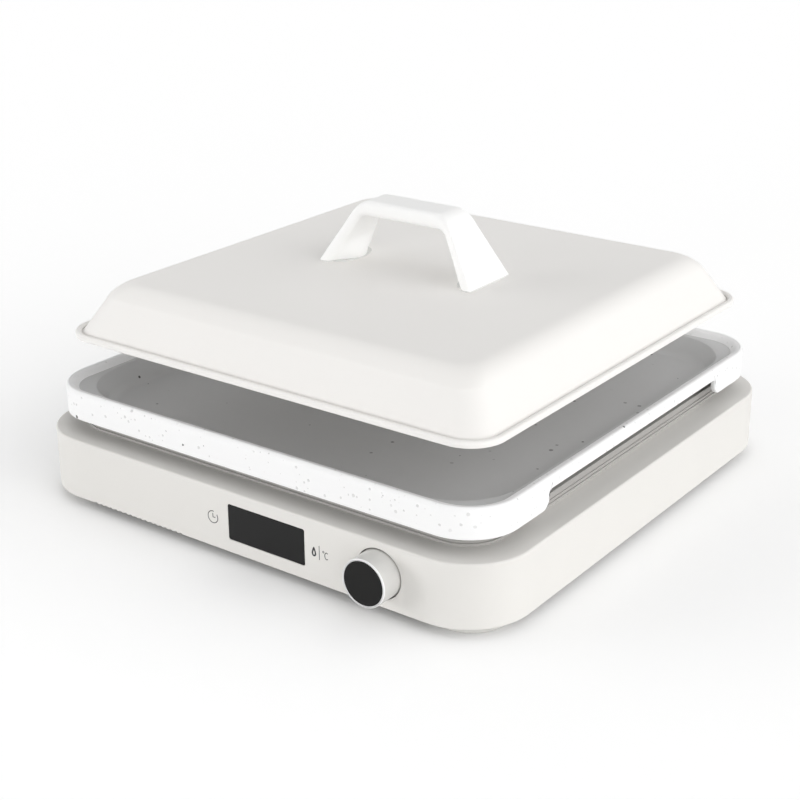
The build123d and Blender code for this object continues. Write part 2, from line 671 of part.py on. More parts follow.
def reflector_tray():
    """A pressed tray under the element, hung from the deck by its flange."""
    flange = slab(TRAY_FLANGE_HALF, TRAY_FLANGE_CORNER, TRAY_TOP - TRAY_THICK, TRAY_TOP)
    well = slab(TRAY_HALF, TRAY_CORNER, TRAY_FLOOR, TRAY_TOP)
    tray = flange + well
    tray -= slab(TRAY_HALF - TRAY_THICK, TRAY_CORNER - TRAY_THICK, TRAY_FLOOR + TRAY_THICK, TRAY_TOP)
    tray -= rod(cup_radius() + SCREW_HOLE_FIT, TRAY_FLOOR, TRAY_FLOOR + TRAY_THICK)
    for x, y in frame_screw_places():
        tray -= rod(FRAME_SCREW_RADIUS + SCREW_HOLE_FIT, TRAY_TOP - TRAY_THICK, TRAY_TOP, x, y)
    for x, y in tail_places():
        tray -= brick(x - TAIL_SLOT, x + TAIL_SLOT, y - TAIL_SLOT, y + TAIL_SLOT,
                      TRAY_FLOOR, TRAY_FLOOR + TRAY_THICK)
    return tray


def insulation_blanket():
    """A mat of fibre that lies in the tray, with the tray's holes."""
    half = TRAY_HALF - TRAY_THICK - BLANKET_MARGIN
    low = TRAY_FLOOR + TRAY_THICK
    mat = slab(half, TRAY_CORNER - TRAY_THICK - BLANKET_MARGIN, low, low + BLANKET_THICK)
    mat -= rod(cup_radius() + SCREW_HOLE_FIT, low, low + BLANKET_THICK)
    for x, y in tail_places():
        mat -= brick(x - TAIL_SLOT, x + TAIL_SLOT, y - TAIL_SLOT, y + TAIL_SLOT, low, low + BLANKET_THICK)
    return mat


def cup_radius():
    """The outer radius of the cup that guides the probe."""
    return SPRING_RADIUS + SPRING_WIRE + SPRING_END_GAP + CUP_WALL


def probe_low():
    """The height of the probe cap's underside."""
    return PLATE_TOP - PROBE_CAP


def cup_low():
    """The height of the guide cup's underside, under the tray's floor."""
    return TRAY_FLOOR - CUP_FLOOR


def probe_cup():
    """The guide cup that stands through the tray and holds the probe and its spring."""
    outer = cup_radius()
    top = probe_low() - PROBE_TRAVEL - SPRING_END_GAP
    cup = rod(outer, cup_low(), top)
    cup += rod(outer + CUP_FLANGE, cup_low(), TRAY_FLOOR)
    cup -= rod(outer - CUP_WALL, TRAY_FLOOR, top)
    return cup - rod(PROBE_STEM_RADIUS + CUP_STEM_FIT, cup_low(), TRAY_FLOOR)


def temperature_probe():
    """The spring-loaded probe: a metal cap that meets the pan, on a stem."""
    cap = fillet(edges_at(rod(PROBE_RADIUS, probe_low(), PLATE_TOP), PLATE_TOP), PLATE_EDGE)
    return cap + rod(PROBE_STEM_RADIUS, cup_low() - SEAT_GAP, probe_low())


def probe_spring():
    """The spring between the cup's floor and the probe's cap."""
    low = TRAY_FLOOR + SPRING_WIRE + SPRING_END_GAP
    high = probe_low() - SPRING_WIRE - SPRING_END_GAP
    height = high - low
    path = Pos(0, 0, low) * Helix(pitch=height / SPRING_TURNS, height=height, radius=SPRING_RADIUS)
    section = Plane(origin=path @ 0, z_dir=path % 0) * Circle(SPRING_WIRE)
    return sweep(section, path=path, is_frenet=True)


def thermal_cutout():
    """The disc cut-out against the plate, with its two ears and two tabs."""
    top = PLATE_UNDER
    body = rod(CUTOUT_RADIUS, top - CUTOUT_HEIGHT, top, CUTOUT_X, 0)
    reach = CUTOUT_RADIUS + CUTOUT_EAR
    ears = brick(CUTOUT_X - CUTOUT_EAR, CUTOUT_X + CUTOUT_EAR, -reach, reach, top - CLIP_THICK, top)
    for hand in (-1, 1):
        y = hand * (CUTOUT_RADIUS + CUTOUT_EAR / 2)
        ears -= rod(CLIP_HOLE_RADIUS, top - CLIP_THICK, top, CUTOUT_X, y)
    tabs = brick(CUTOUT_X - TAB_WIDTH / 2, CUTOUT_X + TAB_WIDTH / 2, -TAB_THICK / 2, TAB_THICK / 2,
                 top - CUTOUT_HEIGHT - TAB_THICK, top - CUTOUT_HEIGHT)
    return body + ears + tabs


def thermal_fuse():
    """The sealed fuse under the plate, with a lead at each end."""
    z = PLATE_UNDER - FUSE_GAP - FUSE_RADIUS
    body = Pos(-CUTOUT_X, 0, z) * Rot(90, 0, 0) * Cylinder(FUSE_RADIUS, FUSE_LENGTH)
    reach = FUSE_LENGTH + 2 * FUSE_LEAD_LENGTH
    return body + Pos(-CUTOUT_X, 0, z) * Rot(90, 0, 0) * Cylinder(FUSE_LEAD_RADIUS, reach)


def notch_outline():
    """One finger notch seen from the side: small round top corners and flared lower corners."""
    low = SKIRT_Z
    top = SKIRT_Z + NOTCH_HEIGHT
    half = NOTCH_HALF
    wide = half + NOTCH_FLARE_RADIUS
    start = low + NOTCH_FLARE_RADIUS
    bend = NOTCH_TOP_RADIUS
    outline = Line((-wide, low), (wide, low))
    outline += RadiusArc((wide, low), (half, start), NOTCH_FLARE_RADIUS)
    outline += Line((half, start), (half, top - bend))
    outline += RadiusArc((half, top - bend), (half - bend, top), -bend)
    outline += Line((half - bend, top), (bend - half, top))
    outline += RadiusArc((bend - half, top), (-half, top - bend), -bend)
    outline += Line((-half, top - bend), (-half, start))
    outline += RadiusArc((-half, start), (-wide, low), NOTCH_FLARE_RADIUS)
    return make_face(outline)


def pan_body():
    """The cast pan: skirt with finger notches, rim, lid ledge and bowl, in one piece."""
    pan = slab(PAN_HALF, PAN_CORNER, SKIRT_Z, RIM_Z)
    pan = fillet(edges_at(pan, RIM_Z), RIM_OUTER_EDGE)
    pan = fillet(edges_at(pan, SKIRT_Z), SKIRT_EDGE)
    pan -= slab(PAN_HALF - SKIRT_WALL, PAN_CORNER - SKIRT_WALL, SKIRT_Z, WEB_Z)
    floor_half = BOWL_HALF - BOWL_FLARE
    pan += taper(floor_half + PAN_WALL, BOWL_CORNER - BOWL_FLARE + PAN_WALL, PAN_UNDER,
                 BOWL_HALF + PAN_WALL / 2, BOWL_CORNER, WEB_Z)
    pan -= taper(LEDGE_HALF, LEDGE_CORNER, LEDGE_Z, RIM_INNER_HALF, RIM_INNER_CORNER, RIM_Z)
    bowl = taper(floor_half, BOWL_CORNER - BOWL_FLARE, BOWL_FLOOR, BOWL_HALF, BOWL_CORNER, LEDGE_Z)
    pan -= fillet(edges_at(bowl, BOWL_FLOOR), BOWL_FILLET)
    side = Plane(origin=(PAN_HALF - SKIRT_WALL, 0, 0), x_dir=(0, 1, 0), z_dir=(1, 0, 0))
    notch = extrude(side * notch_outline(), SKIRT_WALL)
    pan -= notch
    pan -= mirror(notch, Plane.YZ)
    pan = fillet(inner_edges(pan, RIM_Z, RIM_INNER_HALF), RIM_INNER_EDGE)
    return fillet(inner_edges(pan, LEDGE_Z, BOWL_HALF), BOWL_EDGE)


def dome(inset):
    """The dome as a solid, drawn in by inset all round and from above: slope, bend and flat top."""
    slope = degrees(atan2(LID_TOP - GROOVE_TOP, DOME_FOOT_HALF - DOME_TOP_HALF))
    tangent = DOME_BEND * tan(radians(slope / 2))
    middle = DOME_TOP_HALF - tangent
    centre = LID_TOP - DOME_BEND
    radius = DOME_BEND - inset
    corner_rate = (DOME_FOOT_CORNER - DOME_TOP_CORNER) / (DOME_FOOT_HALF - DOME_TOP_HALF)

    def corner(half):
        return DOME_TOP_CORNER + corner_rate * (half - DOME_TOP_HALF)

    sections = []
    for number in range(DOME_SECTIONS):
        angle = radians(slope * (1 - number / (DOME_SECTIONS - 1)))
        half = middle + radius * sin(angle)
        sections.append(square(half, corner(half), centre + radius * cos(angle)))
    foot_half = DOME_FOOT_HALF + LID_WALL / tan(radians(slope)) - inset / sin(radians(slope))
    foot = square(foot_half, corner(foot_half), GROOVE_LOW)
    return loft([foot, sections[0]], ruled=True) + loft(sections)


def lid_shell():
    """The pressed lid: domed top, groove and rolled bead, with the handle's screw holes."""
    shell = slab(LID_HALF - BEAD_WIDTH / 2, LID_CORNER - BEAD_WIDTH / 2, GROOVE_LOW, GROOVE_TOP)
    bead = slab(LID_HALF, LID_CORNER, LID_Z, LID_Z + BEAD_HEIGHT)
    bead -= slab(LID_HALF - BEAD_WIDTH, LID_CORNER - BEAD_WIDTH, LID_Z, LID_Z + BEAD_HEIGHT)
    bead = fillet(edges_at(bead, LID_Z + BEAD_HEIGHT), BEAD_EDGE)
    bead = fillet(edges_at(bead, LID_Z), BEAD_LOWER_EDGE)
    shell = shell + bead + dome(0)
    shell -= dome(LID_WALL)
    for x in (-HANDLE_SCREW_X, HANDLE_SCREW_X):
        shell -= rod(HANDLE_SCREW_RADIUS + SCREW_HOLE_FIT, lid_under(), LID_TOP, x, 0)
    return shell


def handle_section(x, z, tilt, thick, width):
    """One section across the handle, its thickness turned up by tilt degrees from level."""
    turned = radians(tilt)
    plane = Plane(origin=(x, 0, z), x_dir=(cos(turned), 0, sin(turned)),
                  z_dir=(-sin(turned), 0, cos(turned)))
    return plane * RectangleRounded(thick, width, thick * HANDLE_ROUNDING)


def shoulder_sections(grip_z):
    """The sections round the shoulder, from the top of the leg to the end of the grip."""
    corner_x = LEG_FOOT_X - (grip_z - HANDLE_Z) / tan(radians(LEG_SLOPE))
    end_x = corner_x - SHOULDER_BEND * tan(radians(LEG_SLOPE / 2))
    sections = []
    for number in range(SHOULDER_SECTIONS):
        share = number / (SHOULDER_SECTIONS - 1)
        blend = share * share * (3 - 2 * share)
        turn = radians(LEG_SLOPE * (1 - share))
        x = end_x + SHOULDER_BEND * sin(turn)
        z = grip_z - SHOULDER_BEND * (1 - cos(turn))
        thick = LEG_TOP_THICK + blend * (GRIP_THICK - LEG_TOP_THICK)
        width = LEG_TOP_WIDTH + blend * (GRIP_WIDTH - LEG_TOP_WIDTH)
        sections.append(handle_section(x, z, 90 - LEG_SLOPE * (1 - share), thick, width))
    return sections, end_x


def handle_half():
    """Half of the handle: from the middle of the grip over the shoulder and down one leg."""
    grip_z = LID_TOP + GRIP_RISE - GRIP_THICK / 2
    shoulder, end_x = shoulder_sections(grip_z)
    foot = handle_section(LEG_FOOT_X, HANDLE_Z, 0, LEG_FOOT_THICK, LEG_FOOT_WIDTH)
    half = loft([foot, shoulder[0]], ruled=True) + loft(shoulder)
    half += extrude(handle_section(0, grip_z, 90, GRIP_THICK, GRIP_WIDTH), -end_x)
    half += toe(TOE_HEIGHT)
    return half - rod(INSERT_RADIUS, HANDLE_Z, HANDLE_Z + INSERT_LENGTH, HANDLE_SCREW_X, 0)


def toe(height):
    """The screw boss on the inner side of a foot: half an ellipse that fades up into the leg."""
    x = LEG_FOOT_X - LEG_FOOT_THICK / 2
    low = Plane.XY.offset(HANDLE_Z) * Pos(x, 0) * Ellipse(TOE_DEPTH, TOE_HALF_WIDTH)
    drift = height / tan(radians(LEG_SLOPE))
    high = Plane.XY.offset(HANDLE_Z + height) * Pos(x - drift, 0) * Ellipse(
        TOE_TOP_DEPTH, TOE_HALF_WIDTH - drift)
    boss = loft([low, high], ruled=True)
    return boss - brick(LEG_FOOT_X, LEG_FOOT_X + TOE_DEPTH, -LEG_FOOT_WIDTH, LEG_FOOT_WIDTH,
                        HANDLE_Z, HANDLE_Z + height)


def lid_handle():
    """The strap handle: two flared legs, rounded shoulders and a flat-topped grip."""
    half = handle_half()
    return half + mirror(half, Plane.YZ)


def handle_pads():
    """A thin heat pad between each foot of the handle and the lid."""
    pad = Pos(LEG_FOOT_X, 0, LID_TOP) * extrude(
        RectangleRounded(LEG_FOOT_THICK, LEG_FOOT_WIDTH, LEG_FOOT_THICK * HANDLE_ROUNDING), HANDLE_PAD_THICK)
    toe_x = LEG_FOOT_X - LEG_FOOT_THICK / 2
    toe = Pos(toe_x, 0, LID_TOP) * extrude(Ellipse(TOE_DEPTH, TOE_HALF_WIDTH), HANDLE_PAD_THICK)
    toe -= brick(toe_x, toe_x + 2 * TOE_DEPTH, -LEG_FOOT_WIDTH, LEG_FOOT_WIDTH,
                 LID_TOP, LID_TOP + HANDLE_PAD_THICK)
    pad = pad + toe
    pad -= rod(HANDLE_SCREW_RADIUS + SCREW_HOLE_FIT, LID_TOP, HANDLE_Z, HANDLE_SCREW_X, 0)
    return Compound([pad, mirror(pad, Plane.YZ)])


def handle_inserts():
    """A threaded brass insert moulded into each foot of the handle."""
    insert = rod(INSERT_RADIUS, HANDLE_Z, HANDLE_Z + INSERT_LENGTH, HANDLE_SCREW_X, 0)
    insert -= rod(INSERT_BORE, HANDLE_Z, HANDLE_Z + INSERT_LENGTH, HANDLE_SCREW_X, 0)
    return Compound([insert, mirror(insert, Plane.YZ)])


def lid_under():
    """The height of the lid's inner face under its flat top."""
    return LID_TOP - LID_WALL


def handle_washers():
    """A washer under the head of each handle screw, inside the lid."""
    low = lid_under() - HANDLE_WASHER_THICK
    washer = rod(HANDLE_WASHER_RADIUS, low, lid_under(), HANDLE_SCREW_X, 0)
    washer -= rod(HANDLE_SCREW_RADIUS + SCREW_HOLE_FIT, low, lid_under(), HANDLE_SCREW_X, 0)
    return Compound([washer, mirror(washer, Plane.YZ)])


def handle_screws():
    """The two screws that hold the handle, their heads inside the lid."""
    top = lid_under() - HANDLE_WASHER_THICK
    low = top - HANDLE_SCREW_HEAD_HEIGHT
    head = fillet(edges_at(rod(HANDLE_SCREW_HEAD, low, top, HANDLE_SCREW_X, 0), low), PLATE_EDGE)
    screw = head + rod(HANDLE_SCREW_RADIUS, top, HANDLE_Z + HANDLE_SCREW_GRIP, HANDLE_SCREW_X, 0)
    return Compound([screw, mirror(screw, Plane.YZ)])


def display_window():
    """The dark window, flush with the front wall."""
    return front_plate(DISPLAY_WIDTH - 2 * WINDOW_FIT, DISPLAY_HEIGHT - 2 * WINDOW_FIT, DISPLAY_CORNER,
                       FRONT_Y, FRONT_Y + WINDOW_THICK, DISPLAY_X, CONTROLS_Z)


def display_module():
    """The digit display between the control board and the window, with a recess for each digit."""
    face = FRONT_INNER + WINDOW_FIT
    body = brick(DISPLAY_X - MODULE_WIDTH / 2, DISPLAY_X + MODULE_WIDTH / 2, face, CONTROL_FACE,
                 CONTROLS_Z - MODULE_HEIGHT / 2, CONTROLS_Z + MODULE_HEIGHT / 2)
    pitch = MODULE_WIDTH / (DIGITS + 1)
    for number in range(DIGITS):
        x = DISPLAY_X + pitch * (number - (DIGITS - 1) / 2)
        body -= brick(x - DIGIT_WIDTH / 2, x + DIGIT_WIDTH / 2, face, face + DIGIT_DEPTH,
                      CONTROLS_Z - DIGIT_HEIGHT / 2, CONTROLS_Z + DIGIT_HEIGHT / 2)
    return body


def control_boss_places():
    """The corners of the control board where a boss of the housing carries it."""
    low = CONTROLS_Z - CONTROL_HEIGHT / 2 + CONTROL_BOSS_INSET
    high = CONTROLS_Z + CONTROL_HEIGHT / 2 - CONTROL_BOSS_INSET
    left = CONTROL_LEFT + CONTROL_BOSS_INSET
    right = CONTROL_RIGHT - CONTROL_BOSS_INSET
    return [(left, low), (left, high), (right, low), (right, high)]


def control_board():
    """The upright board behind the front wall that carries display and encoder."""
    board = brick(CONTROL_LEFT, CONTROL_RIGHT, CONTROL_FACE, CONTROL_FACE + BOARD_THICK,
                  CONTROLS_Z - CONTROL_HEIGHT / 2, CONTROLS_Z + CONTROL_HEIGHT / 2)
    back = CONTROL_FACE + BOARD_THICK
    for x, z in control_boss_places():
        board -= front_rod(SMALL_SCREW_RADIUS + SCREW_HOLE_FIT, CONTROL_FACE, back, x, z)
    for x, z in encoder_pin_places():
        board -= front_rod(ENCODER_PIN_RADIUS + SCREW_HOLE_FIT, CONTROL_FACE, back, x, z)
    return board


def control_screws():
    """The screws that hold the control board to the housing's bosses."""
    pieces = []
    back = CONTROL_FACE + BOARD_THICK
    for x, z in control_boss_places():
        head = front_rod(SMALL_SCREW_HEAD, back, back + SMALL_SCREW_HEAD_HEIGHT, x, z)
        pieces.append(head + front_rod(SMALL_SCREW_RADIUS, back - SMALL_SCREW_LENGTH, back, x, z))
    return Compound(pieces)


def encoder_pin_places():
    """The encoder's pins, side by side through the control board."""
    z = CONTROLS_Z - ENCODER_PIN_DROP
    first = KNOB_X - ENCODER_PIN_PITCH * (ENCODER_PINS - 1) / 2
    return [(first + ENCODER_PIN_PITCH * number, z) for number in range(ENCODER_PINS)]


def encoder_body():
    """The rotary encoder: a square can on the control board, a threaded bushing and pins."""
    half = ENCODER_WIDTH / 2
    can = brick(KNOB_X - half, KNOB_X + half, CUP_OUTER, CONTROL_FACE, CONTROLS_Z - half, CONTROLS_Z + half)
    can += front_rod(BUSHING_RADIUS, CUP_INNER - BUSHING_PROUD, CUP_OUTER, KNOB_X, CONTROLS_Z)
    inside = CUP_OUTER + SHAFT_INSIDE
    can -= front_rod(SHAFT_RADIUS + BUSHING_FIT, CUP_INNER - BUSHING_PROUD, inside + KNOB_PRESS + PLUNGER_GAP,
                     KNOB_X, CONTROLS_Z)
    can -= front_rod(PLUNGER_RADIUS + BUSHING_FIT, inside, CONTROL_FACE, KNOB_X, CONTROLS_Z)
    for x, z in encoder_pin_places():
        can += front_rod(ENCODER_PIN_RADIUS, CONTROL_FACE, CONTROL_FACE + ENCODER_PIN_LENGTH, x, z)
    return can


def encoder_shaft():
    """The knob's shaft with a flat along its outer end."""
    near = FRONT_Y - KNOB_PROUD + KNOB_FACE_DEPTH + KNOB_FACE_THICK + KNOB_WALL
    shaft = front_rod(SHAFT_RADIUS, near, CUP_OUTER + SHAFT_INSIDE, KNOB_X, CONTROLS_Z)
    flat = SHAFT_RADIUS - SHAFT_FLAT
    return shaft - brick(KNOB_X - SHAFT_RADIUS, KNOB_X + SHAFT_RADIUS, near, near + SHAFT_IN_HUB,
                         CONTROLS_Z + flat, CONTROLS_Z + SHAFT_RADIUS)


def press_plunger():
    """The pin behind the shaft that works the encoder's press switch."""
    near = CUP_OUTER + SHAFT_INSIDE + PLUNGER_GAP
    return front_rod(PLUNGER_RADIUS, near, near + PLUNGER_LENGTH, KNOB_X, CONTROLS_Z)


def knob_shell():
    """The knob's turned shell: rim, skirt and a hub on the shaft's flat."""
    near = FRONT_Y - KNOB_PROUD
    far = FRONT_Y + KNOB_TUCK
    outline = Plane(origin=(KNOB_X, near, CONTROLS_Z), x_dir=(1, 0, 0), z_dir=(0, 1, 0))
    back = Plane(origin=(KNOB_X, far, CONTROLS_Z), x_dir=(1, 0, 0), z_dir=(0, 1, 0))
    shell = loft([outline * Circle(KNOB_RADIUS), back * Circle(KNOB_RADIUS + KNOB_DRAFT)], ruled=True)
    shell = fillet(shell.edges().filter_by_position(Axis.Y, near, near), KNOB_EDGE)
    face_back = near + KNOB_FACE_DEPTH + KNOB_FACE_THICK
    web_back = face_back + KNOB_WALL
    shell -= front_rod(KNOB_RADIUS - KNOB_RIM, near, face_back, KNOB_X, CONTROLS_Z)
    shell -= front_rod(KNOB_RADIUS - KNOB_WALL, web_back, far, KNOB_X, CONTROLS_Z)
    hub_end = web_back + SHAFT_IN_HUB
    hub = front_rod(HUB_RADIUS, web_back, hub_end, KNOB_X, CONTROLS_Z)
    bore = front_rod(SHAFT_RADIUS + HUB_FIT, web_back, hub_end, KNOB_X, CONTROLS_Z)
    flat = SHAFT_RADIUS - SHAFT_FLAT + HUB_FIT
    bore -= brick(KNOB_X - HUB_RADIUS, KNOB_X + HUB_RADIUS, web_back, hub_end,
                  CONTROLS_Z + flat, CONTROLS_Z + HUB_RADIUS)
    return shell + (hub - bore)


def knob_face():
    """The dark disc let into the front of the knob."""
    near = FRONT_Y - KNOB_PROUD + KNOB_FACE_DEPTH
    return front_rod(KNOB_RADIUS - KNOB_RIM - KNOB_FACE_FIT, near, near + KNOB_FACE_THICK, KNOB_X, CONTROLS_Z)


def standoff_places():
    """The corners of the power board where a standoff of the cover carries it."""
    x = POWER_WIDTH / 2 - STANDOFF_INSET
    y = POWER_DEPTH / 2 - STANDOFF_INSET
    return [(POWER_X + a * x, POWER_Y + b * y) for a in (-1, 1) for b in (-1, 1)]


def power_board():
    """The board that switches the heater, on the bottom cover's standoffs."""
    board = brick(BOARD_LEFT, BOARD_RIGHT, BOARD_BACK - POWER_DEPTH, BOARD_BACK, BOARD_UNDER, BOARD_TOP)
    for x, y in standoff_places():
        board -= rod(SMALL_SCREW_RADIUS + SCREW_HOLE_FIT, BOARD_UNDER, BOARD_TOP, x, y)
    return board


def board_screws():
    """The screws that hold the power board to its standoffs."""
    pieces = []
    for x, y in standoff_places():
        head = rod(SMALL_SCREW_HEAD, BOARD_TOP, BOARD_TOP + SMALL_SCREW_HEAD_HEIGHT, x, y)
        pieces.append(head + rod(SMALL_SCREW_RADIUS, BOARD_TOP - SMALL_SCREW_LENGTH, BOARD_TOP, x, y))
    return Compound(pieces)


def on_board(size, x, y):
    """A block of the given size standing on the power board at (x, y)."""
    width, depth, height = size
    return brick(x - width / 2, x + width / 2, y - depth / 2, y + depth / 2, BOARD_TOP, BOARD_TOP + height)


def heater_relay():
    """The relay that switches the heating element."""
    return on_board(RELAY_SIZE, BOARD_LEFT + RELAY_FROM_LEFT, POWER_Y)


def supply_transformer():
    """The small transformer of the low-voltage supply."""
    block = on_board(COIL_SIZE, BOARD_RIGHT - COIL_FROM_RIGHT, POWER_Y + COIL_BACK)
    return fillet(block.edges().filter_by(Axis.Z), LOWER_EDGE)


def smoothing_capacitors():
    """Two upright round capacitors."""
    x = BOARD_RIGHT - CAPACITOR_FROM_RIGHT
    middle = POWER_Y - CAPACITOR_FORWARD
    rows = (middle - CAPACITOR_PITCH / 2, middle + CAPACITOR_PITCH / 2)
    return Compound([rod(CAPACITOR_RADIUS, BOARD_TOP, BOARD_TOP + CAPACITOR_HEIGHT, x, y) for y in rows])


def heat_sink():
    """A finned heat sink for the supply's regulator."""
    width = SINK_PITCH * (SINK_FINS - 1) + SINK_FIN_THICK
    x = BOARD_LEFT + SINK_FROM_LEFT
    y = POWER_Y - SINK_FORWARD
    low = y - SINK_DEPTH / 2
    high = y + SINK_DEPTH / 2
    sink = brick(x - width / 2, x + width / 2, low, high, BOARD_TOP, BOARD_TOP + SINK_FIN_THICK)
    for number in range(SINK_FINS):
        fin = x - width / 2 + number * SINK_PITCH
        sink += brick(fin, fin + SINK_FIN_THICK, low, high, BOARD_TOP, BOARD_TOP + SINK_HEIGHT)
    return sink


def terminal_block():
    """The screw terminals for the mains and heater leads."""
    return on_board(TERMINAL_SIZE, BOARD_LEFT + TERMINAL_FROM_LEFT, BOARD_BACK - TERMINAL_FROM_BACK)


def inlet_outline(grow, near, far, wall):
    """The inlet's six-sided outline, drawn in by wall and grown by grow, from y = near to y = far."""
    half_width = INLET_WIDTH / 2 - wall + grow
    half_height = INLET_HEIGHT / 2 - wall + grow
    cut = INLET_CHAMFER
    points = [
        (-half_width, -half_height),
        (half_width, -half_height),
        (half_width, half_height - cut),
        (half_width - cut, half_height),
        (cut - half_width, half_height),
        (-half_width, half_height - cut),
    ]
    plane = Plane(origin=(INLET_X, far, INLET_Z), x_dir=(1, 0, 0), z_dir=(0, -1, 0))
    return extrude(plane * Polygon(*points, align=None), far - near)


def inlet_block(grow, near, far):
    """The space that the inlet's body fills."""
    return inlet_outline(grow, near, far, 0)


def inlet_flange_block(grow):
    """The space that the inlet's flange fills in the back wall."""
    width = INLET_WIDTH + 2 * INLET_FLANGE + 2 * grow
    height = INLET_HEIGHT + 2 * INLET_FLANGE + 2 * grow
    return front_plate(width, height, INLET_FLANGE, BACK_Y - INLET_FLANGE_THICK, BACK_Y, INLET_X, INLET_Z)


def power_inlet():
    """The mains socket in the back wall: a six-sided well with a flange."""
    body = inlet_block(0, BACK_Y - INLET_DEPTH, BACK_Y) + inlet_flange_block(0)
    body -= inlet_outline(0, BACK_Y - INLET_DEPTH + INLET_WALL, BACK_Y, INLET_WALL)
    for x, z in blade_places():
        body -= blade(x, z, BACK_Y - INLET_DEPTH, BACK_Y - INLET_DEPTH + INLET_WALL, INLET_FIT / 2)
    return body


def blade_places():
    """The three contact blades of the inlet: two low, one high."""
    return [
        (INLET_X - BLADE_SPREAD, INLET_Z - BLADE_STAGGER),
        (INLET_X + BLADE_SPREAD, INLET_Z - BLADE_STAGGER),
        (INLET_X, INLET_Z + BLADE_STAGGER),
    ]


def blade(x, z, near, far, grow):
    """One flat contact blade along Y."""
    return brick(x - BLADE_WIDTH / 2 - grow, x + BLADE_WIDTH / 2 + grow, near, far,
                 z - BLADE_HEIGHT / 2 - grow, z + BLADE_HEIGHT / 2 + grow)


def inlet_blades():
    """The inlet's contact blades, with tails for the leads."""
    near = BACK_Y - INLET_DEPTH - BLADE_TAIL
    return Compound([blade(x, z, near, BACK_Y - BLADE_RECESS, 0) for x, z in blade_places()])


def housing_screws():
    """The screws that hold the bottom cover to the housing's columns."""
    pieces = []
    for x, y in column_places():
        head = rod(SCREW_HEAD_RADIUS, BASE_Z, BASE_Z + SCREW_HEAD_HEIGHT, x, y)
        pieces.append(head + rod(SCREW_RADIUS, BASE_Z + SCREW_HEAD_HEIGHT, COVER_TOP + SCREW_REACH_UP, x, y))
    return Compound(pieces)


NODES = {
    "base_housing": base_housing,
    "bottom_cover": bottom_cover,
    "feet": feet,
    "plinth_frame": plinth_frame,
    "frame_screws": frame_screws,
    "heating_plate": heating_plate,
    "heating_element": heating_element,
    "element_bushes": element_bushes,
    "element_clips": element_clips,
    "plate_screws": plate_screws,
    "reflector_tray": reflector_tray,
    "insulation_blanket": insulation_blanket,
    "probe_cup": probe_cup,
    "temperature_probe": temperature_probe,
    "probe_spring": probe_spring,
    "thermal_cutout": thermal_cutout,
    "thermal_fuse": thermal_fuse,
    "pan_body": pan_body,
    "lid_shell": lid_shell,
    "lid_handle": lid_handle,
    "handle_pads": handle_pads,
    "handle_inserts": handle_inserts,
    "handle_washers": handle_washers,
    "handle_screws": handle_screws,
    "display_window": display_window,
    "display_module": display_module,
    "control_board": control_board,
    "control_screws": control_screws,
    "encoder_body": encoder_body,
    "encoder_shaft": encoder_shaft,
    "press_plunger": press_plunger,
    "knob_shell": knob_shell,
    "knob_face": knob_face,
    "power_board": power_board,
    "board_screws": board_screws,
    "heater_relay": heater_relay,
    "supply_transformer": supply_transformer,
    "smoothing_capacitors": smoothing_capacitors,
    "heat_sink": heat_sink,
    "terminal_block": terminal_block,
    "power_inlet": power_inlet,
    "inlet_blades": inlet_blades,
    "housing_screws": housing_screws,
}


def set_in_frame(shape):
    """Moves a piece so that the origin is under the middle of the footprint, knob included."""
    return Pos(0, KNOB_PROUD / 2, 0) * shape


def main():
    """Builds every node and writes one file for each."""
    os.makedirs("parts", exist_ok=True)
    for node, build in NODES.items():
        export_step(set_in_frame(build()), f"parts/{node}.step")


main()
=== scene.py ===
"""An electric pan dressed for the camera: square base, lift-out speckled pan and domed lid.

Sizes are millimetres about the middle of the base, +Z up and the front towards -Y, as in the frame.
A piece's points are worked out in those millimetres, and Shop.piece() turns them into the frame.
"""

import json
import logging
import math
from collections.abc import Callable, Sequence
from dataclasses import dataclass
from enum import Enum
from typing import Any

import bmesh
import bpy
import numpy as np
from mathutils import Matrix, Vector

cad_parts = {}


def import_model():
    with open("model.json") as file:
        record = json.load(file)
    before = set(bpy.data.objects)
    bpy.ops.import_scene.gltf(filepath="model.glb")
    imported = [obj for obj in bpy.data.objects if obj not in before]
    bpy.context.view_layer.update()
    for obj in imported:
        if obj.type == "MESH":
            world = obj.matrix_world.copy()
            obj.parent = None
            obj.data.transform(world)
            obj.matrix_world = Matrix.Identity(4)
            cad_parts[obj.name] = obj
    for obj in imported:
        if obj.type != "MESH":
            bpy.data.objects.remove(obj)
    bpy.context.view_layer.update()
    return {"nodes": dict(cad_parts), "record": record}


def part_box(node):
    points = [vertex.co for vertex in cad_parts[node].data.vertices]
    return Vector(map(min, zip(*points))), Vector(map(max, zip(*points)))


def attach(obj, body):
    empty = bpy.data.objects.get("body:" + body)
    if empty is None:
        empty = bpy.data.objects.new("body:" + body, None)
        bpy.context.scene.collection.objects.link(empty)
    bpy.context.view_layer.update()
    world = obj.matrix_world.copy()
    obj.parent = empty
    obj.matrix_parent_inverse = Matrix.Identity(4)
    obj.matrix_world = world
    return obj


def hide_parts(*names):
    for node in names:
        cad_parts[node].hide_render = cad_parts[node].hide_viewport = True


LOG = logging.getLogger("electric_pan")
MM = 0.001
MM_IN_METRE = 1000
WELD = 1e-7         # points nearer than this many metres become one
DRIFT_SIZE = 60     # over this many millimetres a finish's colour drifts
GLOSS_SWING = 0.08  # share by which a finish's roughness swings with its marks
FRAY = 0.0009       # how far noise moves the outline of a speck, in metres
SPECK_EDGE = 0.02   # width of a speck's soft edge, as a share of its cell
HOLD = 0.35         # how far a holding row lies from its arc, in millimetres
HOLD_SHARE = 0.4    # and at most this share of the leg's flat
SLANT = 0.05        # a level face's normal has more than this of its length upwards or downwards
Array = np.ndarray
Tree = bpy.types.NodeTree
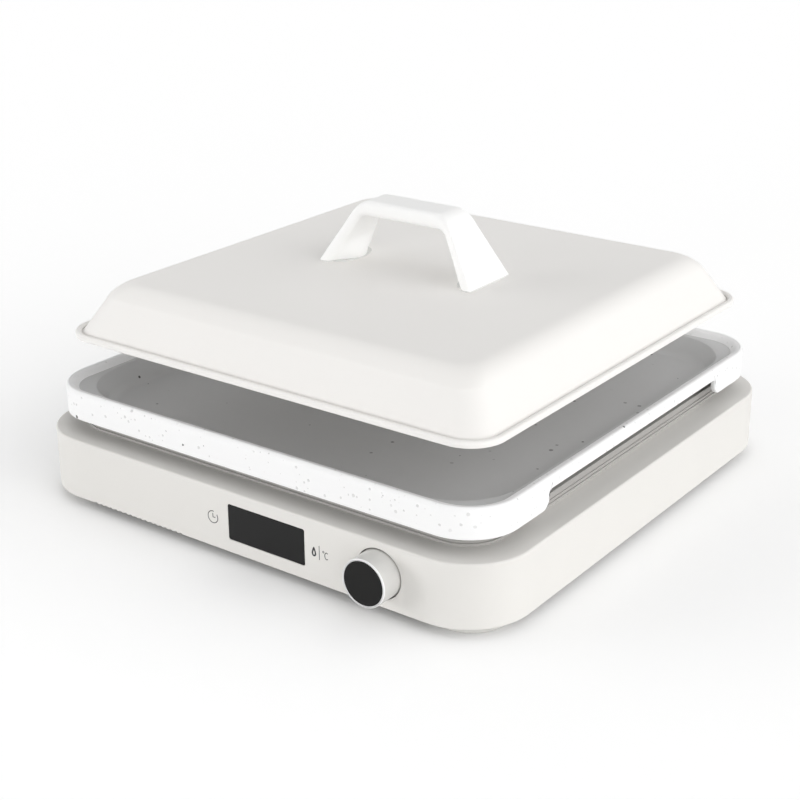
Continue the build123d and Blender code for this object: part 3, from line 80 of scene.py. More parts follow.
Socket = bpy.types.NodeSocket


def direction(azimuth: float, elevation: float) -> tuple[float, float, float]:
    """The unit vector at these degrees from the front (-Y) towards the right (+X) and above the floor."""
    turn, rise = math.radians(azimuth), math.radians(elevation)
    return math.sin(turn) * math.cos(rise), -math.cos(turn) * math.cos(rise), math.sin(rise)


def stacked(*parts: Any) -> Array:
    """Coordinates side by side along a new last axis; a single number is repeated for all points."""
    return np.stack(np.broadcast_arrays(*(np.atleast_1d(part) for part in parts)), axis=-1)


def runs(*rows: Sequence[Any]) -> Array:
    """Runs of points one after another, each run given by its coordinates."""
    return np.concatenate([stacked(*row) for row in rows])


def linear(hex_colour: str) -> tuple[float, float, float, float]:
    """The linear red, green, blue and an alpha of 1 of an sRGB colour, six hex digits after a hash sign."""
    coded = [int(hex_colour[place:place + 2], 16) / 255 for place in (1, 3, 5)]
    return *(c / 12.92 if c <= 0.04045 else ((c + 0.055) / 1.055) ** 2.4 for c in coded), 1.0


def add_node(tree: Tree, kind: str, settings: dict[Any, Any] | None = None,
             links: dict[Any, Socket] | None = None) -> bpy.types.Node:
    """Adds one node with its settings and the links into it.

    Args:
        tree: The node tree that takes the node.
        kind: The node's Blender type after the words ShaderNode.
        settings: Attributes by name, or socket values by the socket's name or number.
        links: Output sockets by the name or number of the input that they feed.

    Returns:
        The new node.
    """
    node = tree.nodes.new("ShaderNode" + kind)
    for key, value in (settings or {}).items():
        if isinstance(key, str) and hasattr(node, key):
            setattr(node, key, value)
        else:
            node.inputs[key].default_value = value
    for key, source in (links or {}).items():
        tree.links.new(source, node.inputs[key])
    return node


def maths(tree: Tree, operation: str, *terms: float | Socket) -> Socket:
    """Adds one maths node.

    Args:
        tree: The node tree that takes the node.
        operation: What it does with its terms.
        terms: Plain numbers or other nodes' outputs, in order.

    Returns:
        Its output.
    """
    numbers = {place: term for place, term in enumerate(terms) if not isinstance(term, Socket)}
    links = {place: term for place, term in enumerate(terms) if isinstance(term, Socket)}
    return add_node(tree, "Math", {"operation": operation} | numbers, links).outputs[0]


def noise(tree: Tree, place: Socket, size: float, detail: float, **more: float) -> bpy.types.NodeOutputs:
    """Noise whose broadest features are this many millimetres wide, as its outputs Fac and Color."""
    settings = {"Scale": MM_IN_METRE / size, "Detail": detail, **more}
    return add_node(tree, "TexNoise", settings, {"Vector": place}).outputs


class Grain(Enum):
    """How a surface was made, which decides the relief that catches the light."""

    SPARK = "spark-eroded mould texture"
    PEEL = "slight orange peel of a stoved coat"
    CAST = "cast and blasted skin"
    BRUSHED = "lines drawn along one axis"
    POLISHED = "polished, with faint handling marks"


@dataclass(frozen=True)
class Finish:
    """A finish: colour, gloss and the relief of its making.

    Attributes:
        name: What the material is and how it was made.
        colour: Its sRGB hex colour.
        roughness: Microfacet roughness.
        metallic: 1 for bare metal.
        ior: Index of refraction.
        coat: Weight of a clear top layer.
        grain: How the surface was made.
        spacing: Distance between the marks of that making, in millimetres.
        depth: Height of those marks, in millimetres.
        drift: How much the colour drifts over the piece.
    """

    name: str
    colour: str
    roughness: float
    metallic: float = 0.0
    ior: float = 1.5
    coat: float = 0.0
    grain: Grain = Grain.SPARK
    spacing: float = 1.1
    depth: float = 0.006
    drift: float = 0.015

    def coordinates(self, tree: Tree) -> Socket:
        """Object coordinates, squeezed along X for a brushed surface so that the marks run long."""
        squeeze = {"Scale": (0.04 if self.grain is Grain.BRUSHED else 1.0, 1.0, 1.0)}
        return add_node(tree, "Mapping", squeeze,
                        {"Vector": add_node(tree, "TexCoord").outputs["Object"]}).outputs["Vector"]

    def base_colour(self, tree: Tree, place: Socket) -> Socket:
        """The colour, drifting a little from spot to spot over about 60 mm.

        Args:
            tree: The material's node tree.
            place: Coordinates on the piece.

        Returns:
            The socket that gives the colour.
        """
        cloud = noise(tree, place, DRIFT_SIZE, 3.0)
        low, high = ((*(min(1.0, value * (1 + swing)) for value in linear(self.colour)[:3]), 1.0)
                     for swing in (-self.drift, self.drift))
        shades = {"data_type": "RGBA", 6: low, 7: high}
        return add_node(tree, "Mix", shades, {0: cloud["Fac"]}).outputs[2]

    def material(self) -> bpy.types.Material:
        """Builds the material once, and gives the same one again after that.

        Returns:
            The material.
        """
        if self.name in bpy.data.materials:
            return bpy.data.materials[self.name]
        made = bpy.data.materials.new(self.name)
        made.use_nodes = True
        tree = made.node_tree
        tree.nodes.clear()
        place = self.coordinates(tree)
        marks = noise(tree, place, self.spacing, 4.0, Roughness=0.55)["Fac"]
        gloss = add_node(tree, "MapRange",
                         {"From Min": 0.3, "From Max": 0.7, "To Min": self.roughness * (1 - GLOSS_SWING),
                          "To Max": min(1.0, self.roughness * (1 + GLOSS_SWING))}, {"Value": marks})
        relief = add_node(tree, "Bump", {"Strength": 1.0, "Distance": self.depth * MM}, {"Height": marks})
        shader = add_node(tree, "BsdfPrincipled",
                          {"Metallic": self.metallic, "IOR": self.ior, "Coat Weight": self.coat,
                           "Coat Roughness": 0.08},
                          {"Base Color": self.base_colour(tree, place), "Roughness": gloss.outputs["Result"],
                           "Normal": relief.outputs["Normal"]})
        add_node(tree, "OutputMaterial", links={"Surface": shader.outputs["BSDF"]})
        return made


@dataclass(frozen=True)
class SpeckLayer:
    """Specks of one kind scattered through a coating.

    Attributes:
        spacing: Mean distance between specks through the coating's depth, in millimetres.
        size: Radius of the largest speck, in millimetres.
        colour: Their sRGB hex colour.
        strength: How far that colour covers the ground.
    """

    spacing: float
    size: float
    colour: str
    strength: float


@dataclass(frozen=True)
class SpeckledCeramic(Finish):
    """Sprayed ceramic coating on cast aluminium, with mineral specks in the glaze."""

    specks: tuple[SpeckLayer, ...] = ()

    def base_colour(self, tree: Tree, place: Socket) -> Socket:
        """The ground with each layer of specks laid over it.

        A speck is a cell of a Voronoi pattern whose point lies nearer than the cell's own radius, and
        the cube of a random value makes most specks small. Noise of 1 mm frays their outlines.

        Args:
            tree: The material's node tree.
            place: Coordinates on the piece.

        Returns:
            The socket that gives the colour.
        """
        colour = super().base_colour(tree, place)
        fray = noise(tree, place, 1.0, 2.0)["Color"]
        shift = add_node(tree, "VectorMath", {"operation": "MULTIPLY", 1: (FRAY,) * 3}, {0: fray}).outputs[0]
        bent = add_node(tree, "VectorMath", {"operation": "ADD"}, {0: place, 1: shift}).outputs[0]
        for layer in self.specks:
            size = {"Scale": MM_IN_METRE / layer.spacing}
            cells = add_node(tree, "TexVoronoi", size, {"Vector": bent}).outputs
            random = add_node(tree, "SeparateColor", links={0: cells["Color"]}).outputs
            cube = maths(tree, "POWER", random[0], 3.0)
            radius = maths(tree, "MULTIPLY", cube, layer.size / layer.spacing)
            inside = maths(tree, "SUBTRACT", radius, cells["Distance"])
            cover = add_node(tree, "MapRange", {"From Min": 0.0, "From Max": SPECK_EDGE, "To Min": 0.0,
                                                "To Max": layer.strength}, {"Value": inside})
            shade = maths(tree, "MULTIPLY", cover.outputs["Result"], random[1])
            ink = {"data_type": "RGBA", 7: linear(layer.colour)}
            colour = add_node(tree, "Mix", ink, {0: shade, 6: colour}).outputs[2]
        return colour


def bare(name: str, colour: str, roughness: float, **details: float) -> Finish:
    """The finish of bare metal, drawn, turned or rolled, with fine lines along the work."""
    return Finish(name, colour, roughness, metallic=1.0, grain=Grain.BRUSHED, **details)


# Moulded ABS with a fine satin grain: a soft, even sheen with no sharp highlight
HOUSING = Finish("abs satin moulded warm white", "#e9e7e3", 0.52, ior=1.33)
COVER = Finish("abs moulded light grey", "#b9b8b4", 0.6, spacing=1.4, depth=0.02)
# Moulded silicone rubber: matt, slightly powdery
FOOT = Finish("silicone rubber moulded pale", "#d9d8d4", 0.75, ior=1.41, depth=0.01)
# Die-cast aluminium, blasted and lacquered pale: a broad dull sheen on each step
FRAME = Finish("aluminium die-cast blasted", "#b6b4b1", 0.5, ior=1.35, grain=Grain.CAST, spacing=0.9,
               depth=0.012)
# Cast aluminium, hard anodised dark grey: matt, with the cast skin's unevenness
PLATE = Finish("aluminium cast hard anodised", "#57575a", 0.5, metallic=0.6, grain=Grain.CAST, spacing=1.2,
               depth=0.03, drift=0.05)
# Stoved satin enamel on a pressed sheet: the slight orange peel breaks up reflections
ENAMEL = Finish("enamel stoved satin warm white", "#f6f4f1", 0.45, ior=1.35, grain=Grain.PEEL, spacing=2.4,
                drift=0.01)
# The lid's inside: a dark grey ground coat, matt and without the top coat's sheen
GROUND_COAT = Finish("enamel ground coat grey", "#5c5c5b", 0.6, grain=Grain.PEEL, spacing=2.4, depth=0.008)
# The strap: moulded plastic with a soft sheen that rounds its edges
GRIP = Finish("abs gloss moulded white", "#fcfcfb", 0.42, ior=1.35, grain=Grain.PEEL, spacing=2.4)
# The knob's turned side: satin, a shade darker than the housing
KNOB = Finish("abs satin moulded knob", "#d8d7d4", 0.34, spacing=1.0, depth=0.004)
# The knob's front rim, sprayed gloss white
KNOB_RIM = Finish("lacquer gloss white", "#fefefe", 0.2, ior=1.45, grain=Grain.POLISHED, spacing=3.0,
                  depth=0.002)
# Polished acrylic, black on the knob and tinted on the display: dark, with a faint sheen of the room
KNOB_FACE = Finish("acrylic polished black", "#0b0b0a", 0.2, ior=1.31, grain=Grain.POLISHED, spacing=4.0,
                   depth=0.001)
WINDOW = Finish("acrylic tinted window", "#121212", 0.16, ior=1.33, grain=Grain.POLISHED, spacing=4.0,
                depth=0.001)
# Pad-printed ink: thin, flat and matt
PRINT = Finish("pad printing ink grey", "#3e3e40", 0.5, depth=0.002)
# Sprayed ceramic: many pale specks and a few dark ones under a satin glaze
CERAMIC = SpeckledCeramic("ceramic sprayed speckled white", "#fefefe", 0.42, ior=1.3, grain=Grain.PEEL,
                          spacing=2.0, depth=0.005, drift=0.01, specks=(
                              SpeckLayer(2.8, 1.1, "#d2d2d1", 0.75), SpeckLayer(9.0, 1.3, "#45423f", 1.0)))
# The same coating inside the bowl, painted light grey with a few dark specks only and no pale ones: painted
# shade of the lid over the bowl
BOWL_PAINTED_SHADE = SpeckledCeramic("ceramic coating painted shade grey", "#d3d3d3", 0.42, ior=1.3, grain=Grain.PEEL,
                       spacing=2.0, specks=(SpeckLayer(9.0, 1.5, "#3d3b39", 1.0),))
# The pan's downward faces inside the skirt, dark grey: painted shade under the skirt and its notches
UNDERSIDE_PAINTED_SHADE = Finish("pan underside painted shade dark grey", "#6b6a68", 0.55, ior=1.35, grain=Grain.CAST, spacing=1.2,
                   depth=0.03, drift=0.05)

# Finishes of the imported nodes, by the record's slot
SLOT_FINISHES: dict[str, Finish] = {
    "housing_plastic": HOUSING,
    "cover_plastic": COVER,
    "foot_rubber": FOOT,
    "platform_frame": FRAME,
    "platform_plate": PLATE,
    # Drawn steel tube, straw and brown from its first heating
    "element_sheath": bare("steel tube heat tinted", "#6f675c", 0.42, spacing=1.0, depth=0.01, drift=0.12),
    "ceramic_bush": Finish("steatite fired", "#e2ddd0", 0.65, grain=Grain.CAST, depth=0.01),
    "pressed_steel": bare("steel sheet pressed", "#b9b9b8", 0.34, spacing=0.8, depth=0.004, drift=0.04),
    # Needled fibre mat: a coarse felt of short strands
    "fibre_mat": Finish("mineral fibre mat needled", "#dcd8cc", 0.95, grain=Grain.CAST, spacing=1.5,
                        depth=0.4, drift=0.06),
    "probe_metal": bare("aluminium turned", "#c8c8c8", 0.28, spacing=0.6, depth=0.004),
    "spring_steel": bare("spring wire drawn", "#8e8e8f", 0.3, depth=0.003),
    "cutout_body": Finish("phenolic moulded brown black", "#2b2623", 0.45, depth=0.01),
    "pan_coating": CERAMIC,
    "lid_enamel": ENAMEL,
    "handle_plastic": GRIP,
    "silicone": Finish("silicone pad moulded", "#dededc", 0.7, ior=1.41),
    "brass_insert": bare("brass knurled", "#b99b59", 0.32, spacing=0.7, depth=0.05),
    "screw_steel": bare("steel zinc plated", "#b4b6b8", 0.3, spacing=0.5, depth=0.006, drift=0.05),
    "window_acrylic": WINDOW,
    "module_plastic": Finish("display module moulded black", "#1d1d20", 0.55, depth=0.01),
    # Woven glass laminate under green solder mask
    "circuit_board": Finish("glass laminate green mask", "#1f5a37", 0.3, coat=0.3, grain=Grain.PEEL,
                            spacing=0.7, depth=0.01, drift=0.08),
    "encoder_metal": bare("steel can stamped", "#b3b3b1", 0.32, spacing=0.6, depth=0.004),
    "knob_plastic": KNOB,
    "knob_face_plastic": KNOB_FACE,
    "component_black": Finish("component housing black", "#1b1b1c", 0.5, depth=0.008),
    "transformer_tape": Finish("polyester tape yellow", "#c9a63a", 0.35, coat=0.2, grain=Grain.PEEL,
                               spacing=2.0, depth=0.02, drift=0.05),
    "capacitor_sleeve": Finish("shrunk sleeve blue black", "#1e2741", 0.3, grain=Grain.POLISHED,
                               depth=0.004),
    "terminal_green": Finish("terminal housing green", "#2c7a46", 0.45, depth=0.008),
    "socket_plastic": Finish("socket housing black", "#191919", 0.5, spacing=1.0, depth=0.015),
    "blade_brass": bare("brass nickel plated", "#c9bf9f", 0.25, spacing=0.5, depth=0.003),
}


@dataclass(frozen=True)
class Station:
    """One corner of a profile that is carried round a rounded rectangle.

    Attributes:
        half: Half the width there, or the radius of a round piece.
        corner: Radius of the outline's corner there; equal to half for a round piece.
        height: Height along the piece's own axis.
        bend: Rounding of the profile at this corner.
        half_deep: Half the depth, where it differs from half the width.
    """

    half: float
    corner: float
    height: float
    bend: float = 0.0
    half_deep: float | None = None

    def row(self) -> tuple[float, float, float, float]:
        """Half width, half depth, corner radius and height."""
        deep = self.half if self.half_deep is None else self.half_deep
        return self.half, deep, self.corner, self.height


def disc(radius: float, height: float, bend: float = 0.0) -> Station:
    """A station of a round piece."""
    return Station(radius, radius, height, bend)


def bent_profile(stations: Sequence[Station], steps: int) -> Array:
    """Rounds the corners of a profile.

    Seen in the plane of half width and height, a corner with bend r between two legs that meet at the
    angle q becomes the arc that touches both legs at r / tan(q / 2) from the corner. Its points turn
    evenly from one touching point to the other, and the outline's other sizes change in step. A holding
    point on each leg keeps the flat beside the arc flat when it is shaded.

    Args:
        stations: The profile's corners in order; the ends of an open profile have no bend.
        steps: Steps in each arc.

    Returns:
        Rows of half width, half depth, corner radius and height.
    """
    rows = np.array([station.row() for station in stations])
    pieces = []
    for number, station in enumerate(stations):
        point = rows[number]
        if station.bend == 0:
            pieces.append(point[None])
            continue
        legs = np.stack([rows[number - 1], rows[(number + 1) % len(rows)]]) - point
        lengths = np.hypot(legs[:, 0], legs[:, 3])
        units = legs / lengths[:, None]
        flat = units[:, [0, 3]]
        angle = math.acos(np.clip(flat[0] @ flat[1], -1, 1))
        reach = station.bend / math.tan(angle / 2)
        touch = point + units * reach
        between = flat[0] + flat[1]
        middle = point[[0, 3]] + between / np.linalg.norm(between) * (station.bend / math.sin(angle / 2))
        spokes = touch[:, [0, 3]] - middle
        sweep = math.pi - angle
        share = np.linspace(0, 1, steps + 1)[:, None]
        turned = np.sin((1 - share) * sweep) * spokes[0] + np.sin(share * sweep) * spokes[1]
        body = touch[0] + share * (touch[1] - touch[0])
        body[:, [0, 3]] = middle + turned / math.sin(sweep)
        holds = point + units * (reach + np.minimum(HOLD, (lengths - reach) * HOLD_SHARE))[:, None]
        pieces.extend((holds[:1], body, holds[1:]))
    return np.concatenate(pieces)


@dataclass(frozen=True)
class Outline:
    """Columns round a rounded rectangle.

    Column k has a unit normal N and a place C on the unit square, so that a rectangle with half sizes a
    and b and corner radius r runs through ((a - r) Cx + r Nx, (b - r) Cy + r Ny).

    Attributes:
        arc_steps: Steps round each corner.
        side_steps: Steps along each side, 0 for a round piece.
    """

    arc_steps: int
    side_steps: int

    def columns(self) -> tuple[Array, Array]:
        """Works out every column at once.

        Returns:
            The places C and the normals N, one row for each column.
        """
        quarter = np.arange(4)[:, None]
        share = 0.5 - 0.5 * np.cos(np.linspace(0, math.pi, self.side_steps + 1))[1:-1]
        arcs = (quarter + np.linspace(0, 1, self.arc_steps + 1)) * math.pi / 2
        theta = np.concatenate([arcs, (quarter + 1) * math.pi / 2 + 0 * share], axis=1)
        along = np.concatenate([np.zeros(self.arc_steps + 1), share])[:, None]
        signs = np.array([[1, 1], [-1, 1], [-1, -1], [1, -1]], dtype=float)[:, None]
        places = signs + along * (np.roll(signs, -1, axis=0) - signs)
        return places.reshape(-1, 2), stacked(np.cos(theta), np.sin(theta)).reshape(-1, 2)


def carried(profile: Array, places: Array, normals: Array) -> Array:
    """Carries a profile round an outline.

    Each row of half sizes a and b, corner radius r and height h gives, for each column, the point
    ((a - r) Cx + r Nx, (b - r) Cy + r Ny, h).

    Args:
        profile: Rows of half width, half depth, corner radius and height.
        places: The columns' places on the unit square.
        normals: The columns' unit normals.

    Returns:
        Points by row and column.
    """
    corner = profile[:, None, 2:3]
    flat = (profile[:, None, :2] - corner) * places + corner * normals
    return stacked(flat[..., 0], flat[..., 1], profile[:, 3:4])


def swept(stations: Sequence[Station], outline: Outline, steps: int = 7) -> Array:
    """A profile with its bends in this many steps, carried round an outline."""
    return carried(bent_profile(stations, steps), *outline.columns())


def wall(half: float, corner: float, *levels: tuple[float, ...]) -> list[Station]:
    """Stations right above one another; each level is a height and, where it is rounded, its bend."""
    return [Station(half, corner, *place) for place in levels]


def level(height: float, rings: Sequence[tuple[float, float]]) -> list[Station]:
    """Stations at one height; each ring is a half width and its corner radius."""
    return [Station(*ring, height) for ring in rings]


def grid_faces(rows: int, columns: int, closed: bool) -> list[list[int]]:
    """Faces over a grid whose columns run round and meet.

    Args:
        rows: Rows of points.
        columns: Points in each row.
        closed: Whether the last row joins the first; otherwise a flat face caps each end.

    Returns:
        The faces as lists of point numbers.
    """
    low = np.arange(rows if closed else rows - 1)[:, None] * columns
    high = (low + columns) % (rows * columns)
    here = np.arange(columns)[None]
    beside = (here + 1) % columns
    sides = np.stack([low + here, low + beside, high + beside, high + here], axis=-1)
    first = list(range(columns))
    caps = [] if closed else [first[::-1], [(rows - 1) * columns + number for number in first]]
    return sides.reshape(-1, 4).tolist() + caps


@dataclass
class Shop:
    """Where pieces are put together: it turns millimetres into the frame and links each piece into the scene
    on its body.

    Attributes:
        shift: The middle of the base in the frame, in metres.
    """

    shift: Array

    def piece(self, name: str, grid: Array, finish: Finish, body: str, closed: bool = False,
              node: str | None = None, slot: str | None = None, crease: float = 38.0) -> bpy.types.Object:
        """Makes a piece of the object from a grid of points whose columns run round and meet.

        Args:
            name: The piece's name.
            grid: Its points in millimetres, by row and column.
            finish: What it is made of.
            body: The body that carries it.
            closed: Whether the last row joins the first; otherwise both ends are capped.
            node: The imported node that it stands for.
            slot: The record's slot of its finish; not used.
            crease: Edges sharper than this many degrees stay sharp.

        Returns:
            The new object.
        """
        mesh = bpy.data.meshes.new(name)
        points = grid.reshape(-1, 3) * MM + self.shift
        mesh.from_pydata(points.tolist(), [], grid_faces(*grid.shape[:2], closed))
        shaped = bmesh.new()
        shaped.from_mesh(mesh)
        bmesh.ops.remove_doubles(shaped, verts=shaped.verts, dist=WELD)
        bmesh.ops.dissolve_degenerate(shaped, edges=shaped.edges, dist=WELD)
        bmesh.ops.recalc_face_normals(shaped, faces=shaped.faces)
        if shaped.calc_volume(signed=True) < 0:
            bmesh.ops.reverse_faces(shaped, faces=shaped.faces)
        shaped.to_mesh(mesh)
        shaped.free()
        mesh.shade_smooth()
        mesh.set_sharp_from_angle(angle=math.radians(crease))
        mesh.materials.append(finish.material())
        made = bpy.data.objects.new(name, mesh)
        bpy.context.scene.collection.objects.link(made)
        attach(made, body)
        if node is not None:
            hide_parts(node)
        LOG.info("%s: %d faces on %s", name, len(mesh.polygons), body)
        return made

    def trim(self, piece: bpy.types.Object, finish: Finish, chosen: Callable[[Array, Array], Array]) -> None:
        """Gives some faces of a piece their own finish.

        Args:
            piece: The piece.
            finish: The finish of those faces.
            chosen: Tells from the faces' middles, in millimetres, and their normals which ones they are.
        """
        mesh = piece.data
        middles, normals = np.empty((2, len(mesh.polygons), 3))
        mesh.polygons.foreach_get("center", middles.ravel())
        mesh.polygons.foreach_get("normal", normals.ravel())
        numbers = np.empty(len(mesh.polygons), dtype=np.int32)
        mesh.polygons.foreach_get("material_index", numbers)
        numbers[chosen((middles - self.shift) / MM, normals)] = len(mesh.materials)
        mesh.materials.append(finish.material())
        mesh.polygons.foreach_set("material_index", numbers)
        mesh.update()


def within(points: Array, half: float, corner: float) -> Array:
    """Which points lie inside a rounded square of this half width and corner radius, seen from above."""
    past = np.maximum(np.abs(points[:, :2]) - (half - corner), 0.0)
    return np.hypot(past[:, 0], past[:, 1]) < corner


def looking(way: int, half: float, corner: float) -> Callable[[Array, Array], Array]:
    """Chooses the faces within such a square that look upwards (way 1) or downwards (way -1)."""
    return lambda middles, normals: (normals[:, 2] * way > SLANT) & within(middles, half, corner)


@dataclass
class Assembly:
    """A sub-assembly, with the shop where its pieces are put together."""

    shop: Shop


@dataclass
class Lid(Assembly):
    """The pressed lid and its strap handle."""

    low: float = 101.0              # underside of the bead
    top: float = 133.0
    half: float = 153.3             # half the width over the bead
    corner: float = 21.8
    wall: float = 1.2
    bead_width: float = 3.8
    bead_height: float = 3.8
    bead_bend: float = 1.5
    bead_lower_bend: float = 0.5
    groove: float = 0.6             # underside of the groove's floor above the bead's
    foot_half: float = 149.0        # where the slope meets the groove's floor
    foot_corner: float = 17.5
    crease_half: float = 131.2      # where the slope would meet the top
    crease_corner: float = 12.9
    bend: float = 16.0
    pad: float = 0.8
    grip_rise: float = 40.9
    grip_thick: float = 10.2
    grip_width: float = 24.0
    leg_x: float = 53.0
    leg_thick: float = 8.0
    leg_width: float = 43.0
    leg_slope: float = 58.5
    shoulder_thick: float = 5.8
    shoulder_width: float = 28.0
    shoulder_bend: float = 12.0
    leg_rows: int = 25
    shoulder_rows: int = 15
    grip_rows: int = 6
    outer_rounding: tuple[float, float, float] = (0.14, 0.2, 0.34)   # at foot, shoulder and grip,
    inner_rounding: tuple[float, float, float] = (0.5, 0.55, 0.42)   # as shares of the thickness
    toe_depth: float = 10.0
    toe_height: float = 15.0
    top_rings: tuple[tuple[float, float], ...] = ((40.0, 11.0), (100.0, 12.0))   # half width and corner
    coat_gap: float = 0.05          # how far inside the bead the ground coat stops

    def shell(self) -> None:
        """The domed shell as one closed skin, from the middle of the top round the bead to the inside."""
        under = self.low + self.groove
        floor = under + self.wall
        run = self.foot_half - self.crease_half
        rise = self.top - floor
        rate = (self.foot_corner - self.crease_corner) / run
        lean = run / rise
        across = self.wall * math.hypot(rise, run) / rise
        inner_foot = self.foot_half - across + lean * self.wall
        inner_crease = self.crease_half - across + lean * self.wall
        bead_inner = self.half - self.bead_width
        inner_corner = self.corner - self.bead_width
        bead_top = (self.low + self.bead_height, self.bead_bend)
        stations = [
            *level(self.top, self.top_rings),
            Station(self.crease_half, self.crease_corner, self.top, self.bend),
            Station(self.foot_half, self.foot_corner, floor, 0.15),
            *wall(bead_inner, inner_corner, (floor, 0.15), bead_top),
            *wall(self.half, self.corner, bead_top, (self.low, self.bead_lower_bend)),
            *wall(bead_inner, inner_corner, (self.low, 0.3), (under,)),
            Station(inner_foot, self.foot_corner - rate * (self.foot_half - inner_foot), under, 0.9),
            Station(inner_crease, self.crease_corner, self.top - self.wall, self.bend - self.wall),
            *level(self.top - self.wall, self.top_rings[::-1]),
        ]
        dome = self.shop.piece("lid_dome", swept(stations, Outline(16, 12), 12), ENAMEL, "lid",
                               node="lid_shell", slot="lid_enamel")
        gap = self.coat_gap
        self.shop.trim(dome, GROUND_COAT, looking(-1, bead_inner - gap, inner_corner - gap))

    def strap_sections(self, places: Array, normals: Array) -> Array:
        """Sections of half the strap, from a foot up the leg and round the shoulder to the grip's middle.

        A section is a rounded rectangle whose thickness lies along the unit direction t and whose width
        lies along Y, with crisp outer corners and wide inner ones: a column at the place Cx takes the
        outer radius in the share (1 + Cx) / 2 and the inner one in the rest. The leg's rows are blends of
        the foot's section and the shoulder's first one. Round the shoulder the centre line is an arc of
        the bend's radius, and the section grows by the smooth step 3 s^2 - 2 s^3 of its share s.

        Args:
            places: The columns' places on the unit square.
            normals: The columns' unit normals.

        Returns:
            Points by row and column.
        """
        foot_z = self.top + self.pad
        grip_z = self.top + self.grip_rise - self.grip_thick / 2
        slope = math.radians(self.leg_slope)
        end_x = self.leg_x - (grip_z - foot_z) / math.tan(slope) - self.shoulder_bend * math.tan(slope / 2)
        share = np.linspace(0, 1, self.shoulder_rows)
        turn = slope * (1 - share)
        smooth = share ** 2 * (3 - 2 * share)
        grip_x = np.linspace(end_x, 0, self.grip_rows)[1:]
        x, z, lean = runs(
            (self.leg_x, foot_z, 0.0),
            (end_x + self.shoulder_bend * np.sin(turn), grip_z - self.shoulder_bend * (1 - np.cos(turn)),
             math.pi / 2 - turn),
            (grip_x, grip_z, math.pi / 2)).T[..., None]

        def grown(foot: float, shoulder: float, grip: float) -> Array:
            """A size of the section in each row."""
            return runs((foot,), (shoulder + smooth * (grip - shoulder),), (grip + 0 * grip_x,))

        thick = grown(self.leg_thick, self.shoulder_thick, self.grip_thick)
        width = grown(self.leg_width, self.shoulder_width, self.grip_width)
        outer, inner = thick * grown(*self.outer_rounding), thick * grown(*self.inner_rounding)
        outside = (1 + places[:, 0]) / 2
        corner = outside * outer + (1 - outside) * inner
        centre = outside * (thick / 2 - outer) - (1 - outside) * (thick / 2 - inner)
        across = centre + corner * normals[:, 0]
        along = (width / 2 - corner) * places[:, 1] + corner * normals[:, 1]
        rows = stacked(x + across * np.cos(lean), along, z + across * np.sin(lean))
        blend = np.linspace(0, 1, self.leg_rows)[:-1, None, None]
        leg = rows[0] + blend * (rows[1] - rows[0])
        return np.concatenate([leg, rows[1:]])

    def swell_toe(self, rows: Array) -> Array:
        """Swells the inner side of a foot into its screw boss.

        A point on the inner side moves inwards by d (1 + cos(pi y / w)) / 2 (1 - h / H)^2 (1 + 2 h / H),
        where d is the boss's depth, w half the foot's width, h the height above the foot and H the height
        at which the boss has faded into the leg.

        Args:
            rows: Points by row and column.

        Returns:
            The same points with the boss.
        """
        height = np.clip((rows[..., 2] - self.top - self.pad) / self.toe_height, 0, 1)
        spread = (1 + np.cos(2 * math.pi * rows[..., 1] / self.leg_width)) / 2
        middle = rows[:, :, 0].mean(axis=1, keepdims=True)
        inner = np.clip((middle - rows[..., 0]) / self.leg_thick, 0, 0.5) * 2
        moved = rows.copy()
        moved[..., 0] -= inner * self.toe_depth * spread * (1 - height) ** 2 * (1 + 2 * height)
        return moved

    def handle(self) -> None:
        """The strap handle: one half worked out, and its mirror image joined to it at the grip's middle."""
        half = self.swell_toe(self.strap_sections(*Outline(6, 24).columns()))
        rows = np.concatenate([half, half[-2::-1] * [-1.0, 1.0, 1.0]])
        self.shop.piece("lid_strap_handle", rows, GRIP, "lid", node="lid_handle", slot="handle_plastic",
                        crease=50.0)

    def build(self) -> None:
        """Makes the lid's shell and handle."""
        self.shell()
        self.handle()


